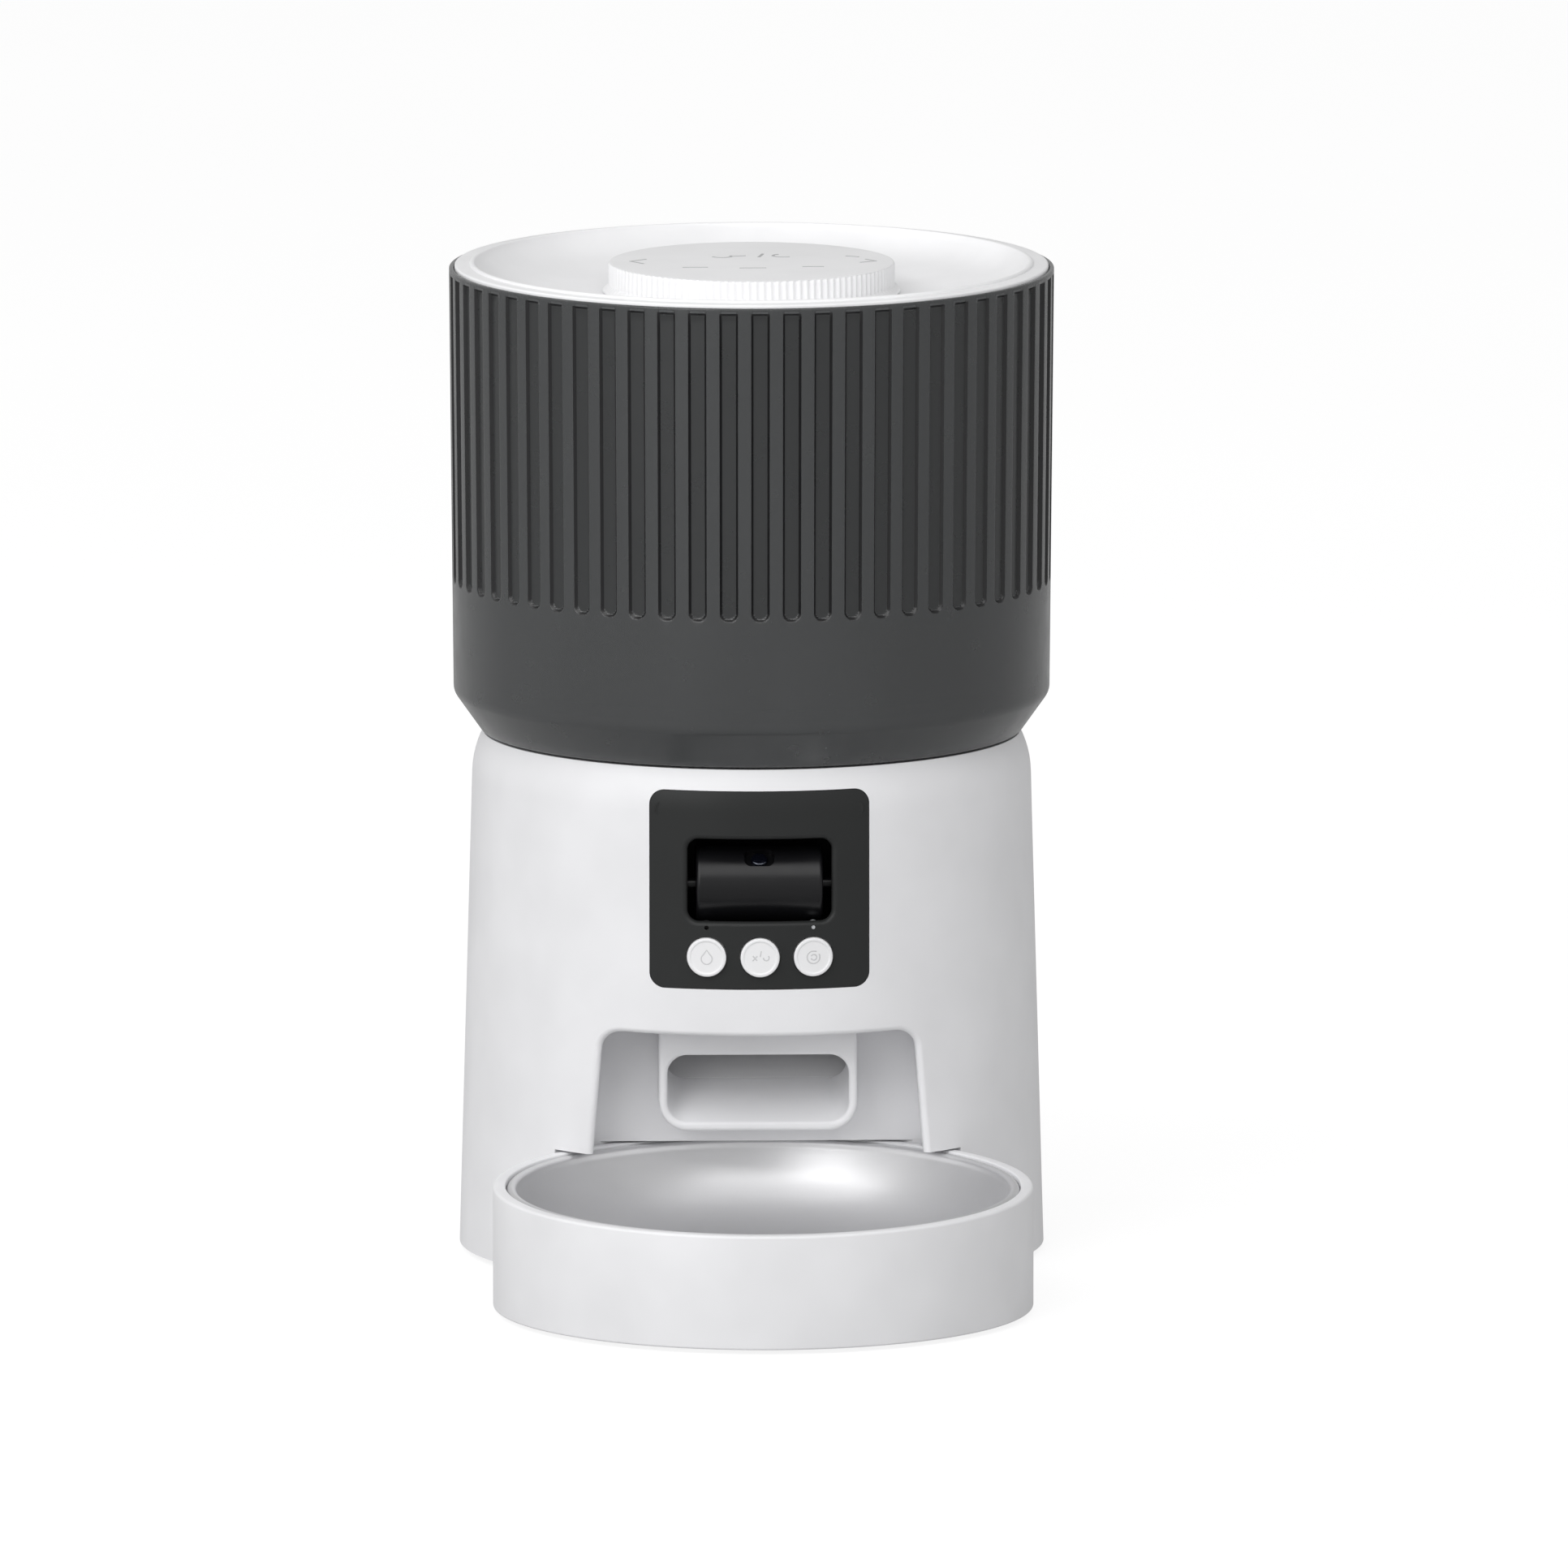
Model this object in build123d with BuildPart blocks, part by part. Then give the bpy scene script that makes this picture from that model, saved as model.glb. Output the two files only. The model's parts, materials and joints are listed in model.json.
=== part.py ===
"""Automatic pet feeder: a round tower with a smoked food hopper, a metering wheel driven by a
geared motor, a tilting camera behind the front panel, and a steel bowl in a pull-out tray.

Millimetres. +Z is up, -Y is the front where the bowl is, +X is the right as seen from the front.
The origin is the centre of the whole footprint, on the surface that the feeder stands on.
"""

from build123d import *
from math import cos, radians, sin
import os

os.makedirs("parts", exist_ok=True)

# ---------------------------------------------------------------- driving dimensions

# Tower and bowl, in plan
base_r = 92.0           # tower radius where it meets the ground
bowl_ring_r = 84.3      # outside of the bowl tray
bowl_reach = 122.0      # tower axis to bowl axis
hopper_top_r = 95.0      # the hopper's rim overhangs the base behind
tower_y = (bowl_reach + bowl_ring_r - hopper_top_r) / 2
bowl_y = tower_y - bowl_reach

# Tower shell
wall = 2.4
shell_foot_z = 2.0
taper_top_r = 87.9
taper_top_z = 151.5
deck_r = 84.5
deck_z = 164.6

# Hopper and lid
hopper_foot_r = 84.9
hopper_foot_z = 165.2
hopper_knee_r = 93.7
hopper_knee_z = 177.6
hopper_top_z = 311.5
groove_count = 60
groove_width = 5.1
groove_depth = 1.0
groove_foot_z = 212.8
lid_seat_r = 93.6       # rebate in the hopper's mouth
lid_seat_z = 308.5
lid_rim_r = 93.3
lid_rim_z = 312.5
dish_floor_z = 303.2
dish_skin = 2.0

# Lid knob and its two latch bolts
knob_r = 45.0
knob_skirt_r = 47.0
knob_foot_z = 303.8
knob_top_z = 313.0
knob_ribs = 120
stem_r = 8.0
latch_travel = 3.8
latch_turn = 75.0       # degrees of knob for the full bolt travel
cam_pin_r = 1.4
cam_start_r = 14.0

# Metering chamber
cup_r = 52.0
cup_floor_z = 128.0
cup_rim_z = 164.0
cup_wall = 2.0
wheel_r = 51.3
wheel_vanes = 6

# Gear train: module, tooth counts, and one axis after another (all upright)
module = 1.0
output_teeth = 28
second_pinion_teeth = 12
wheel_teeth = 30
pinion_teeth = 10
second_bearing = 120.0  # direction from output axis to second gear
first_bearing = 30.0    # direction from second gear to first gear
motor_bearing = 150.0   # direction from first gear to motor

# Front panel, camera and buttons
panel_half = 34.2
panel_low_z = 96.0
panel_high_z = 158.0
panel_corner = 4.6
window_half = 22.5
window_low_z = 117.0
window_high_z = 143.0
window_round = 1.4
barrel_r = 12.5
barrel_half = 19.8
barrel_depth = 73.5     # barrel axis in front of the tower axis
barrel_z = 127.0
lens_angle = 50.0       # lens above the horizontal at rest
button_r = 6.1
button_pitch = 16.7
button_z = 106.0

# Front recess, outlet and chute (depths are measured forward from the tower axis)
arch_top_half = 48.5
arch_foot_half = 52.2
arch_top_z = 81.0
arch_foot_z = 36.0
arch_corner = 6.5
recess_depth = 52.0
snout_half = 31.0
snout_depth = 70.0
snout_foot_z = 48.0
mouth_half = 28.4
mouth_low_z = 50.5
mouth_high_z = 71.5
throat_low_z = 61.7
throat_high_z = 78.5
opening_round = 1.5
mouth_round = 1.2
snout_round = 1.3

# Bowl tray and bowl
tray_tilt = 1.5         # degrees, rim lower at the front
tray_rim_z = 39.5       # rim height over the bowl axis
bowl_mouth_r = 80.4
bowl_drop = 31.0
notch_gap = 1.2
notch_rise = 0.6        # the notch's top stands this far above the tray's tilted rim
notch_top_z = 42.4

# Base, feet and batteries
plate_z = 2.2
plate_top_z = 4.7
plate_r = 89.2
cell_r = 16.6
cell_pitch = 35.0
cell_z = 21.8

# ---------------------------------------------------------------- planes, axes and helpers

tower_axis = Axis((0, tower_y, 0), (0, 0, 1))
tower_side = Plane(origin=(0, tower_y, 0), x_dir=(1, 0, 0), z_dir=(0, -1, 0))
bowl_rim = Plane(
    origin=(0, bowl_y, tray_rim_z),
    x_dir=(1, 0, 0),
    z_dir=(0, -sin(radians(tray_tilt)), cos(radians(tray_tilt))),
)


def depth(distance):
    """The Y of a point this far in front of the tower axis."""
    return tower_y - distance


def front(distance):
    """An upright plane that faces the front, this far in front of the tower axis."""
    return Plane(origin=(0, depth(distance), 0), x_dir=(1, 0, 0), z_dir=(0, -1, 0))


def taper_r(z):
    """The tower's outside radius at height z, below its shoulder."""
    return base_r + (taper_top_r - base_r) * (z - shell_foot_z) / (taper_top_z - shell_foot_z)


def turn(points, centre=(0.0, tower_y), mode=Mode.ADD):
    """Revolve a closed (radius, height) outline about an upright axis."""
    side = Plane(origin=(*centre, 0), x_dir=(1, 0, 0), z_dir=(0, -1, 0))
    with BuildSketch(side) as outline:
        with BuildLine():
            Polyline(*points, close=True)
        make_face()
    revolve(outline.sketch, axis=Axis((*centre, 0), (0, 0, 1)), mode=mode)


def rod(radius, low_z, high_z, centre=(0.0, tower_y), mode=Mode.ADD):
    """An upright cylinder between two heights."""
    with Locations((*centre, (low_z + high_z) / 2)):
        Cylinder(radius, high_z - low_z, mode=mode)


def block(x_span, y_span, z_span, mode=Mode.ADD):
    """A box between two corners, given as three (low, high) spans."""
    sizes = [high - low for low, high in (x_span, y_span, z_span)]
    with Locations(tuple((low + high) / 2 for low, high in (x_span, y_span, z_span))):
        Box(*sizes, mode=mode)


def front_rod(radius, x, z, near, away, mode=Mode.ADD):
    """A cylinder along Y between two depths in front of the tower axis."""
    with BuildSketch(front(away)) as disc:
        with Locations((x, z)):
            Circle(radius)
    extrude(disc.sketch, amount=near - away, mode=mode)


def cross_rod(radius, low_x, high_x, y, z, mode=Mode.ADD):
    """A cylinder along X."""
    with BuildSketch(Plane(origin=(low_x, y, z), x_dir=(0, 1, 0), z_dir=(1, 0, 0))) as disc:
        Circle(radius)
    extrude(disc.sketch, amount=high_x - low_x, mode=mode)


def tower_form(inset, low_z=shell_foot_z, mode=Mode.ADD):
    """The tower's round outline, drawn in by inset, as a solid of revolution."""
    with BuildSketch(tower_side) as outline:
        with BuildLine():
            side = Line((taper_r(low_z) - inset, low_z), (taper_top_r - inset, taper_top_z))
            shoulder = TangentArc(side @ 1, (deck_r - inset, deck_z - inset), tangent=side % 1)
            Polyline(shoulder @ 1, (0, deck_z - inset), (0, low_z), side @ 0)
        make_face()
    revolve(outline.sketch, axis=tower_axis, mode=mode)


def rounded_window(half, low_z, high_z, corner, near, away, mode=Mode.ADD):
    """A rounded rectangle facing the front, as a prism between two depths."""
    with BuildSketch(front(away)) as opening:
        with Locations((0, (low_z + high_z) / 2)):
            RectangleRounded(2 * half, high_z - low_z, corner)
    extrude(opening.sketch, amount=near - away, mode=mode)


def arch(grow, near, away, mode=Mode.ADD):
    """The recess's arched outline, grown by a margin, as a prism between two depths."""
    with BuildSketch(front(away)) as opening:
        with BuildLine():
            Polyline(
                (-arch_foot_half - grow, arch_foot_z),
                (arch_foot_half + grow, arch_foot_z),
                (arch_top_half + grow, arch_top_z + grow),
                (-arch_top_half - grow, arch_top_z + grow),
                close=True,
            )
        make_face()
        fillet(opening.vertices().group_by(Axis.Y)[-1], arch_corner + grow)
    extrude(opening.sketch, amount=near - away, mode=mode)


def screw(place, seat_z, length, head=1.2, head_r=2.7):
    """A pan-head screw on an upright axis; its shank goes up from the seat, or down if negative."""
    way = 1 if length > 0 else -1
    rod(head_r, *sorted((seat_z - way * head, seat_z)), place)
    rod(screw_r, *sorted((seat_z - way * head / 2, seat_z + length)), place)


def lying_in(shape, x_half, depths, z_span):
    """A shape's edges that lie in a box about the front's centre line."""
    chosen = ShapeList()
    for edge in shape.edges():
        box = edge.bounding_box()
        if (max(-box.min.X, box.max.X) < x_half and depth(box.max.Y) > depths[0]
                and depth(box.min.Y) < depths[1] and z_span[0] < box.min.Z
                and box.max.Z < z_span[1]):
            chosen.append(edge)
    return chosen


def keep(builder, name):
    """Label a finished piece and write it to its own file."""
    builder.part.label = name
    export_step(builder.part, f"parts/{name}.step")


def polar(radius, degrees, centre=(0.0, tower_y)):
    """A point at a radius and bearing about an upright axis."""
    return (centre[0] + radius * cos(radians(degrees)), centre[1] + radius * sin(radians(degrees)))


# Where the screws stand
screw_r = 1.4
base_screw_places = [polar(84.8, bearing) for bearing in (15, 65, 115, 165)]
cup_screw_places = [polar(cup_r + 6.0, bearing) for bearing in (90, 210, 330)]
case_x = (-29.0, 27.0)
case_y = (depth(17.3), depth(-47.0))
case_screw_places = [(x, y) for x in (case_x[0] + 4.6, case_x[1] - 4.6)
                     for y in (case_y[0] + 4.5, case_y[1] - 6)]
lid_screw_places = [polar(37.0, bearing) for bearing in (45, 135, 225, 315)]

# ---------------------------------------------------------------- tower shell

# The arched pocket's walls and the wall round the bowl tray's notch stay inside the tower.
with BuildPart() as pocket_walls:
    tower_form(0)
    arch(wall, base_r + 5, recess_depth - wall, mode=Mode.INTERSECT)

with BuildPart() as notch:
    rod(bowl_ring_r + notch_gap, 0, 60, (0, bowl_y))
    split(bisect_by=bowl_rim.offset(notch_rise), keep=Keep.BOTTOM)

with BuildPart() as notch_walls:
    tower_form(0)
    rod(bowl_ring_r + notch_gap + wall, 0, notch_top_z + wall, (0, bowl_y), mode=Mode.INTERSECT)

with BuildPart() as body_shell:
    tower_form(0)
    tower_form(wall, low_z=shell_foot_z, mode=Mode.SUBTRACT)
    add(pocket_walls.part)
    add(notch_walls.part)
    arch(0, base_r + 5, recess_depth, mode=Mode.SUBTRACT)
    add(notch.part, mode=Mode.SUBTRACT)
    # The snout round the outlet hangs from the pocket's ceiling and is rounded below.
    with BuildSketch(front(recess_depth - 0.5)) as snout:
        with Locations((0, (snout_foot_z + arch_top_z + wall) / 2)):
            Rectangle(2 * snout_half, arch_top_z + wall - snout_foot_z)
        fillet(snout.vertices().group_by(Axis.Y)[0], 9.0)
    extrude(snout.sketch, amount=snout_depth - recess_depth + 0.5)
    # The outlet's throat narrows and climbs as it goes in.
    with BuildSketch(front(snout_depth)) as mouth:
        with Locations((0, (mouth_low_z + mouth_high_z) / 2)):
            RectangleRounded(2 * mouth_half, mouth_high_z - mouth_low_z, 6.0)
    with BuildSketch(front(recess_depth - wall - 0.5)) as throat:
        with Locations((0, (throat_low_z + throat_high_z) / 2)):
            RectangleRounded(2 * mouth_half, throat_high_z - throat_low_z, 6.0)
    loft([throat.sketch.faces()[0], mouth.sketch.faces()[0]], mode=Mode.SUBTRACT)
    # The edges of the recess, the snout and its mouth are rounded.
    fillet(lying_in(body_shell, arch_foot_half, (74, base_r), (notch_top_z - 3, arch_top_z + 1)),
           opening_round)
    at_snout = (snout_depth - 0.1, snout_depth + 0.1)
    mouth_box = (mouth_half + 0.1, at_snout, (mouth_low_z - 0.1, mouth_high_z + 0.1))
    mouth_edges = lying_in(body_shell, *mouth_box)
    snout_edges = lying_in(body_shell, snout_half + 0.1, at_snout, (snout_foot_z - 1, arch_top_z + 1))
    fillet([edge for edge in snout_edges
            if edge not in mouth_edges and edge.center().Z < arch_top_z - 1], snout_round)
    fillet(lying_in(body_shell, *mouth_box), mouth_round)
    # Openings: the panel, the metering cup in the deck, the power inlet and the tray's tongue.
    rounded_window(panel_half + 0.2, panel_low_z - 0.2, panel_high_z + 0.2, panel_corner + 0.2,
                   base_r + 5, 60, mode=Mode.SUBTRACT)
    rod(cup_r + cup_wall + 0.3, cup_rim_z - 20, deck_z + 1, mode=Mode.SUBTRACT)
    front_rod(5.2, 0, 20, -base_r + 12, -base_r - 5, mode=Mode.SUBTRACT)
    block((-22.5, 22.5), (depth(45), depth(30)), (5.5, 11.5), mode=Mode.SUBTRACT)
    # Bosses inside the wall take the base screws, and seats in the deck take the cup's screws.
    for place in base_screw_places:
        rod(4.5, plate_top_z, 30, place)
        rod(screw_r, plate_top_z, 16, place, mode=Mode.SUBTRACT)
    for place in cup_screw_places:
        rod(screw_r, deck_z - wall - 1, deck_z + 1, place, mode=Mode.SUBTRACT)
        rod(2.9, deck_z - 1.3, deck_z + 1, place, mode=Mode.SUBTRACT)

# ---------------------------------------------------------------- front panel and its pieces

with BuildPart() as front_panel:
    tower_form(0)
    tower_form(wall, mode=Mode.SUBTRACT)
    rounded_window(panel_half, panel_low_z, panel_high_z, panel_corner,
                   base_r + 5, 60, mode=Mode.INTERSECT)
    rounded_window(window_half, window_low_z, window_high_z, 3.6,
                   base_r + 5, 60, mode=Mode.SUBTRACT)
    fillet(lying_in(front_panel, window_half + 0.1, (84.6, base_r),
                    (window_low_z - 0.1, window_high_z + 0.1)), window_round)
    for column in (-1, 0, 1):
        front_rod(button_r + 0.3, column * button_pitch, button_z, base_r + 5, 60,
                  mode=Mode.SUBTRACT)
    for side in (-1, 1):
        front_rod(0.7, side * button_pitch, 115.2, base_r + 5, 60, mode=Mode.SUBTRACT)
        for screw_z in (100.0, 152.0):
            front_rod(2.6, side * 30.0, screw_z, 82.0, 78.0)
            front_rod(screw_r, side * 30.0, screw_z, 80.4, 77.0, mode=Mode.SUBTRACT)

buttons = {}
for column, name in ((-1, "button_left"), (0, "button_middle"), (1, "button_right")):
    x = column * button_pitch
    with BuildPart() as collar:
        tower_form(wall + 0.4)
        tower_form(wall + 1.4, mode=Mode.SUBTRACT)
        front_rod(button_r + 0.9, x, button_z, base_r + 5, 60, mode=Mode.INTERSECT)
    with BuildPart() as buttons[name]:
        tower_form(-0.6)
        tower_form(wall + 1.4, mode=Mode.SUBTRACT)
        front_rod(button_r, x, button_z, base_r + 5, 60, mode=Mode.INTERSECT)
        fillet(buttons[name].faces().sort_by(Axis.Y)[0].edges(), 0.5)
        add(collar.part)
        front_rod(1.6, x, button_z, 85.4, 82.4)

with BuildPart() as button_board:
    block((-23.8, 23.8), (depth(77.9), depth(76.3)), (98.5, 111))

with BuildPart() as tact_switches:
    for column in (-1, 0, 1):
        x = column * button_pitch
        block((x - 3, x + 3), (depth(80.9), depth(77.9)), (button_z - 3, button_z + 3))
        front_rod(1.4, x, button_z, 81.3, 80.9)

with BuildPart() as microphone:
    front_rod(1.7, -button_pitch, 115.2, 84.2, 82.6)

with BuildPart() as status_light:
    front_rod(1.7, button_pitch, 115.2, 84.2, 82.6)
    front_rod(0.6, button_pitch, 115.2, 87.0, 84.2)

# The bay is an open-fronted box behind the window, with ears for the panel's screws.
bay_half = window_half + 1.2
with BuildPart() as camera_bay:
    block((-bay_half - 1.5, bay_half + 1.5), (depth(81.5), depth(57.5)), (111.8, 146.5))
    block((-bay_half, bay_half), (depth(82.5), depth(59)), (113.3, 145), mode=Mode.SUBTRACT)
    for side in (-1, 1):
        for ear_z in (100.0, 152.0):
            block(sorted((side * 24.4, side * 33)), (depth(78), depth(76.4)),
                  sorted((ear_z - 3.4, ear_z + 3.4)))
        block(sorted((side * 24.4, side * 27.0)), (depth(78), depth(76.2)), (97, 155))
        block(sorted((side * 20.0, side * 27.0)), (depth(76.2), depth(74.6)), (99, 110))
        front_rod(1.5, side * 30.0, 100.0, 80, 70, mode=Mode.SUBTRACT)
        front_rod(1.5, side * 30.0, 152.0, 80, 70, mode=Mode.SUBTRACT)
    cross_rod(2.06, -30, 30, depth(barrel_depth), barrel_z, mode=Mode.SUBTRACT)

with BuildPart() as panel_screws:
    for side in (-1, 1):
        for screw_z in (100.0, 152.0):
            front_rod(2.7, side * 30.0, screw_z, 76.4, 74.6)
            front_rod(screw_r, side * 30.0, screw_z, 80.4, 76.4)

lens_up = (0, -cos(radians(lens_angle)), sin(radians(lens_angle)))
barrel_centre = Vector(0, depth(barrel_depth), barrel_z)
lens_seat = Plane(origin=barrel_centre + Vector(*lens_up) * (barrel_r - 2.2), x_dir=(1, 0, 0),
                  z_dir=lens_up)
with BuildPart() as camera_barrel:
    cross_rod(barrel_r, -barrel_half, barrel_half, depth(barrel_depth), barrel_z)
    fillet(camera_barrel.edges().filter_by(GeomType.CIRCLE), 1.2)
    cross_rod(2.0, -bay_half - 1.4, bay_half + 1.4, depth(barrel_depth), barrel_z)
    with BuildSketch(lens_seat) as pocket:
        RectangleRounded(9.4, 6.8, 2.2)
    extrude(pocket.sketch, amount=6, mode=Mode.SUBTRACT)

with BuildPart() as camera_lens:
    with BuildSketch(lens_seat.offset(0.05)) as glass:
        Circle(2.6)
    extrude(glass.sketch, amount=1.5)
    fillet(camera_lens.edges().sort_by(Axis.Z)[-1], 0.7)

# ---------------------------------------------------------------- metering chamber

with BuildPart() as metering_cup:
    turn(((0, cup_floor_z), (cup_r + cup_wall, cup_floor_z), (cup_r + cup_wall, cup_rim_z),
          (cup_r, cup_rim_z), (cup_r, cup_floor_z + cup_wall), (0, cup_floor_z + cup_wall)))
    # Three ears under the deck take the screws.
    for place in cup_screw_places:
        rod(5.0, cup_rim_z - 12, deck_z - wall - 0.05, place)
        rod(screw_r, cup_rim_z - 10, deck_z, place, mode=Mode.SUBTRACT)
    rod(cup_r, cup_floor_z + cup_wall, cup_rim_z + 2, mode=Mode.SUBTRACT)
    # The food drops through the front third of the floor.
    with BuildSketch(Plane.XY.offset(cup_floor_z - 1)) as drop:
        with Locations((0, tower_y)):
            Circle(cup_r - 2.5)
            Circle(17.0, mode=Mode.SUBTRACT)
        with Locations((0, depth(35.5))):
            Rectangle(2 * mouth_half - 2, 29.5, mode=Mode.INTERSECT)
    extrude(drop.sketch, amount=4, mode=Mode.SUBTRACT)
    rod(6.2, cup_floor_z - 1, cup_floor_z + 3, mode=Mode.SUBTRACT)
    for place in case_screw_places:
        rod(screw_r, cup_floor_z - 1, cup_floor_z + 3, place, mode=Mode.SUBTRACT)
        rod(2.9, cup_floor_z + 0.7, cup_floor_z + 3, place, mode=Mode.SUBTRACT)

with BuildPart() as cup_screws:
    for place in cup_screw_places:
        screw(place, deck_z - 1.3, -7.5)

with BuildPart() as portion_wheel:
    wheel_low = cup_floor_z + cup_wall + 0.6
    turn(((0, wheel_low), (11, wheel_low), (11, 146), (7, 154), (0, 157)))
    for vane in range(wheel_vanes):
        with BuildSketch(Plane.XY.offset(wheel_low)) as blade:
            with Locations((0, tower_y)):
                with Locations(Rotation(0, 0, 360 / wheel_vanes * vane + 30)):
                    with Locations(((wheel_r + 8) / 2, 0)):
                        RectangleRounded(wheel_r - 8, 2.6, 1.0)
        extrude(blade.sketch, amount=24)
    with BuildSketch(Plane.XY.offset(wheel_low)) as socket:
        with Locations((0, tower_y)):
            RegularPolygon(5.2, 6)
    extrude(socket.sketch, amount=14, mode=Mode.SUBTRACT)

# ---------------------------------------------------------------- gear train

output_at = (0.0, tower_y)
second_at = polar(module * (output_teeth + second_pinion_teeth) / 2, second_bearing, output_at)
first_at = polar(module * (wheel_teeth + pinion_teeth) / 2, first_bearing, second_at)
motor_at = polar(module * (wheel_teeth + pinion_teeth) / 2, motor_bearing, first_at)


def gear(teeth, centre, low_z, thickness, phase):
    """A spur gear whose first tooth points along phase, in degrees."""
    pitch_r = module * teeth / 2
    root_r = pitch_r - 1.2 * module
    tip_r = pitch_r + 0.85 * module
    with BuildSketch(Plane(origin=(*centre, low_z), x_dir=(1, 0, 0), z_dir=(0, 0, 1))) as teeth_face:
        Circle(root_r)
        with PolarLocations(0, teeth, start_angle=phase):
            Polygon(
                (root_r - 0.3, -0.95 * module), (pitch_r, -0.64 * module), (tip_r, -0.3 * module),
                (tip_r, 0.3 * module), (pitch_r, 0.64 * module), (root_r - 0.3, 0.95 * module),
                align=None,
            )
    extrude(teeth_face.sketch, amount=thickness)


def facing(teeth, bearing):
    """The phase of a follower: a gap faces the tooth that points along bearing."""
    return bearing + 180 + 180 / teeth


with BuildPart() as output_gear:
    gear(output_teeth, output_at, 116, 6, second_bearing)
    rod(4.0, 115.5, 132, output_at)
    rod(2.5, 98.2, 116, output_at)
    with BuildSketch(Plane.XY.offset(132)) as dog:
        with Locations(output_at):
            RegularPolygon(5.0, 6)
    extrude(dog.sketch, amount=12)

with BuildPart() as second_gear:
    gear(second_pinion_teeth, second_at, 114, 8.4, facing(second_pinion_teeth, second_bearing))
    gear(wheel_teeth, second_at, 108, 6, first_bearing)
    rod(1.56, 107, 124, second_at, mode=Mode.SUBTRACT)

with BuildPart() as first_gear:
    gear(pinion_teeth, first_at, 106, 8.4, facing(pinion_teeth, first_bearing))
    gear(wheel_teeth, first_at, 100, 6, motor_bearing)
    rod(1.56, 99, 124, first_at, mode=Mode.SUBTRACT)

with BuildPart() as motor_pinion:
    gear(pinion_teeth, motor_at, 99.4, 7.2, facing(pinion_teeth, motor_bearing))
    rod(1.0, 92, 99.4, motor_at)

with BuildPart() as gear_pins:
    for place in (second_at, first_at):
        rod(1.5, 96.2, 126.6, place)

case_mid = ((case_x[0] + case_x[1]) / 2, (case_y[0] + case_y[1]) / 2)
case_size = (case_x[1] - case_x[0], case_y[1] - case_y[0])
with BuildPart() as gearbox_case:
    with BuildSketch(Plane.XY.offset(96)) as case_plan:
        with Locations(case_mid):
            RectangleRounded(*case_size, 4)
    extrude(case_plan.sketch, amount=28.4)
    with BuildSketch(Plane.XY.offset(98)) as case_hollow:
        with Locations(case_mid):
            RectangleRounded(case_size[0] - 3.6, case_size[1] - 3.6, 2.4)
    extrude(case_hollow.sketch, amount=30, mode=Mode.SUBTRACT)
    rod(2.55, 95, 99, output_at, mode=Mode.SUBTRACT)
    rod(1.1, 95, 99, motor_at, mode=Mode.SUBTRACT)
    for place in (second_at, first_at):
        rod(1.5, 95, 99, place, mode=Mode.SUBTRACT)
    for place in case_screw_places:
        rod(3.2, 97, 124.4, place)
        rod(screw_r, 112, 125, place, mode=Mode.SUBTRACT)

with BuildPart() as gearbox_cover:
    with BuildSketch(Plane.XY.offset(124.4)) as cover_plan:
        with Locations(case_mid):
            RectangleRounded(*case_size, 4)
    extrude(cover_plan.sketch, amount=cup_floor_z - 124.4)
    rod(6.0, 124, 130, output_at, mode=Mode.SUBTRACT)
    for place in (second_at, first_at):
        rod(1.5, 124, 130, place, mode=Mode.SUBTRACT)
    for place in case_screw_places:
        rod(screw_r, 124, 130, place, mode=Mode.SUBTRACT)

with BuildPart() as shaft_bush:
    rod(6.0, 124.4, cup_floor_z + cup_wall, output_at)
    rod(4.06, 124, 132, output_at, mode=Mode.SUBTRACT)

with BuildPart() as gearbox_screws:
    for place in case_screw_places:
        screw(place, cup_floor_z + 0.7, -16)

with BuildPart() as gear_motor:
    rod(12.5, 68, 93, motor_at)
    rod(5.0, 93, 95.9, motor_at)
    rod(4.5, 65.5, 68, motor_at)
    rod(1.1, 91.5, 97, motor_at, mode=Mode.SUBTRACT)

# ---------------------------------------------------------------- chute

with BuildPart() as outlet_chute:
    chute_side = Plane(origin=(0, tower_y, 0), x_dir=(0, -1, 0), z_dir=(-1, 0, 0))
    duct_front = recess_depth - wall - 0.3
    with BuildSketch(chute_side) as duct:
        with BuildLine():
            Polyline((duct_front, throat_low_z - 2), (27, 79.3), (18.6, 86), (18.6, cup_floor_z - 0.3),
                     (duct_front + 0.5, cup_floor_z - 0.3), (duct_front + 0.5, 88),
                     (duct_front, 86), close=True)
        make_face()
    extrude(duct.sketch, amount=mouth_half + 2, both=True)
    with BuildSketch(chute_side) as passage:
        with BuildLine():
            Polyline((duct_front + 2, throat_low_z - 1.4), (duct_front, throat_low_z),
                     (28, 81.3), (20.6, 87.3), (20.6, cup_floor_z + 2),
                     (duct_front - 1.5, cup_floor_z + 2),
                     (duct_front - 1.5, 86), (duct_front, throat_high_z),
                     (duct_front + 2, throat_high_z), close=True)
        make_face()
    extrude(passage.sketch, amount=mouth_half, both=True, mode=Mode.SUBTRACT)

# ---------------------------------------------------------------- hopper

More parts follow.
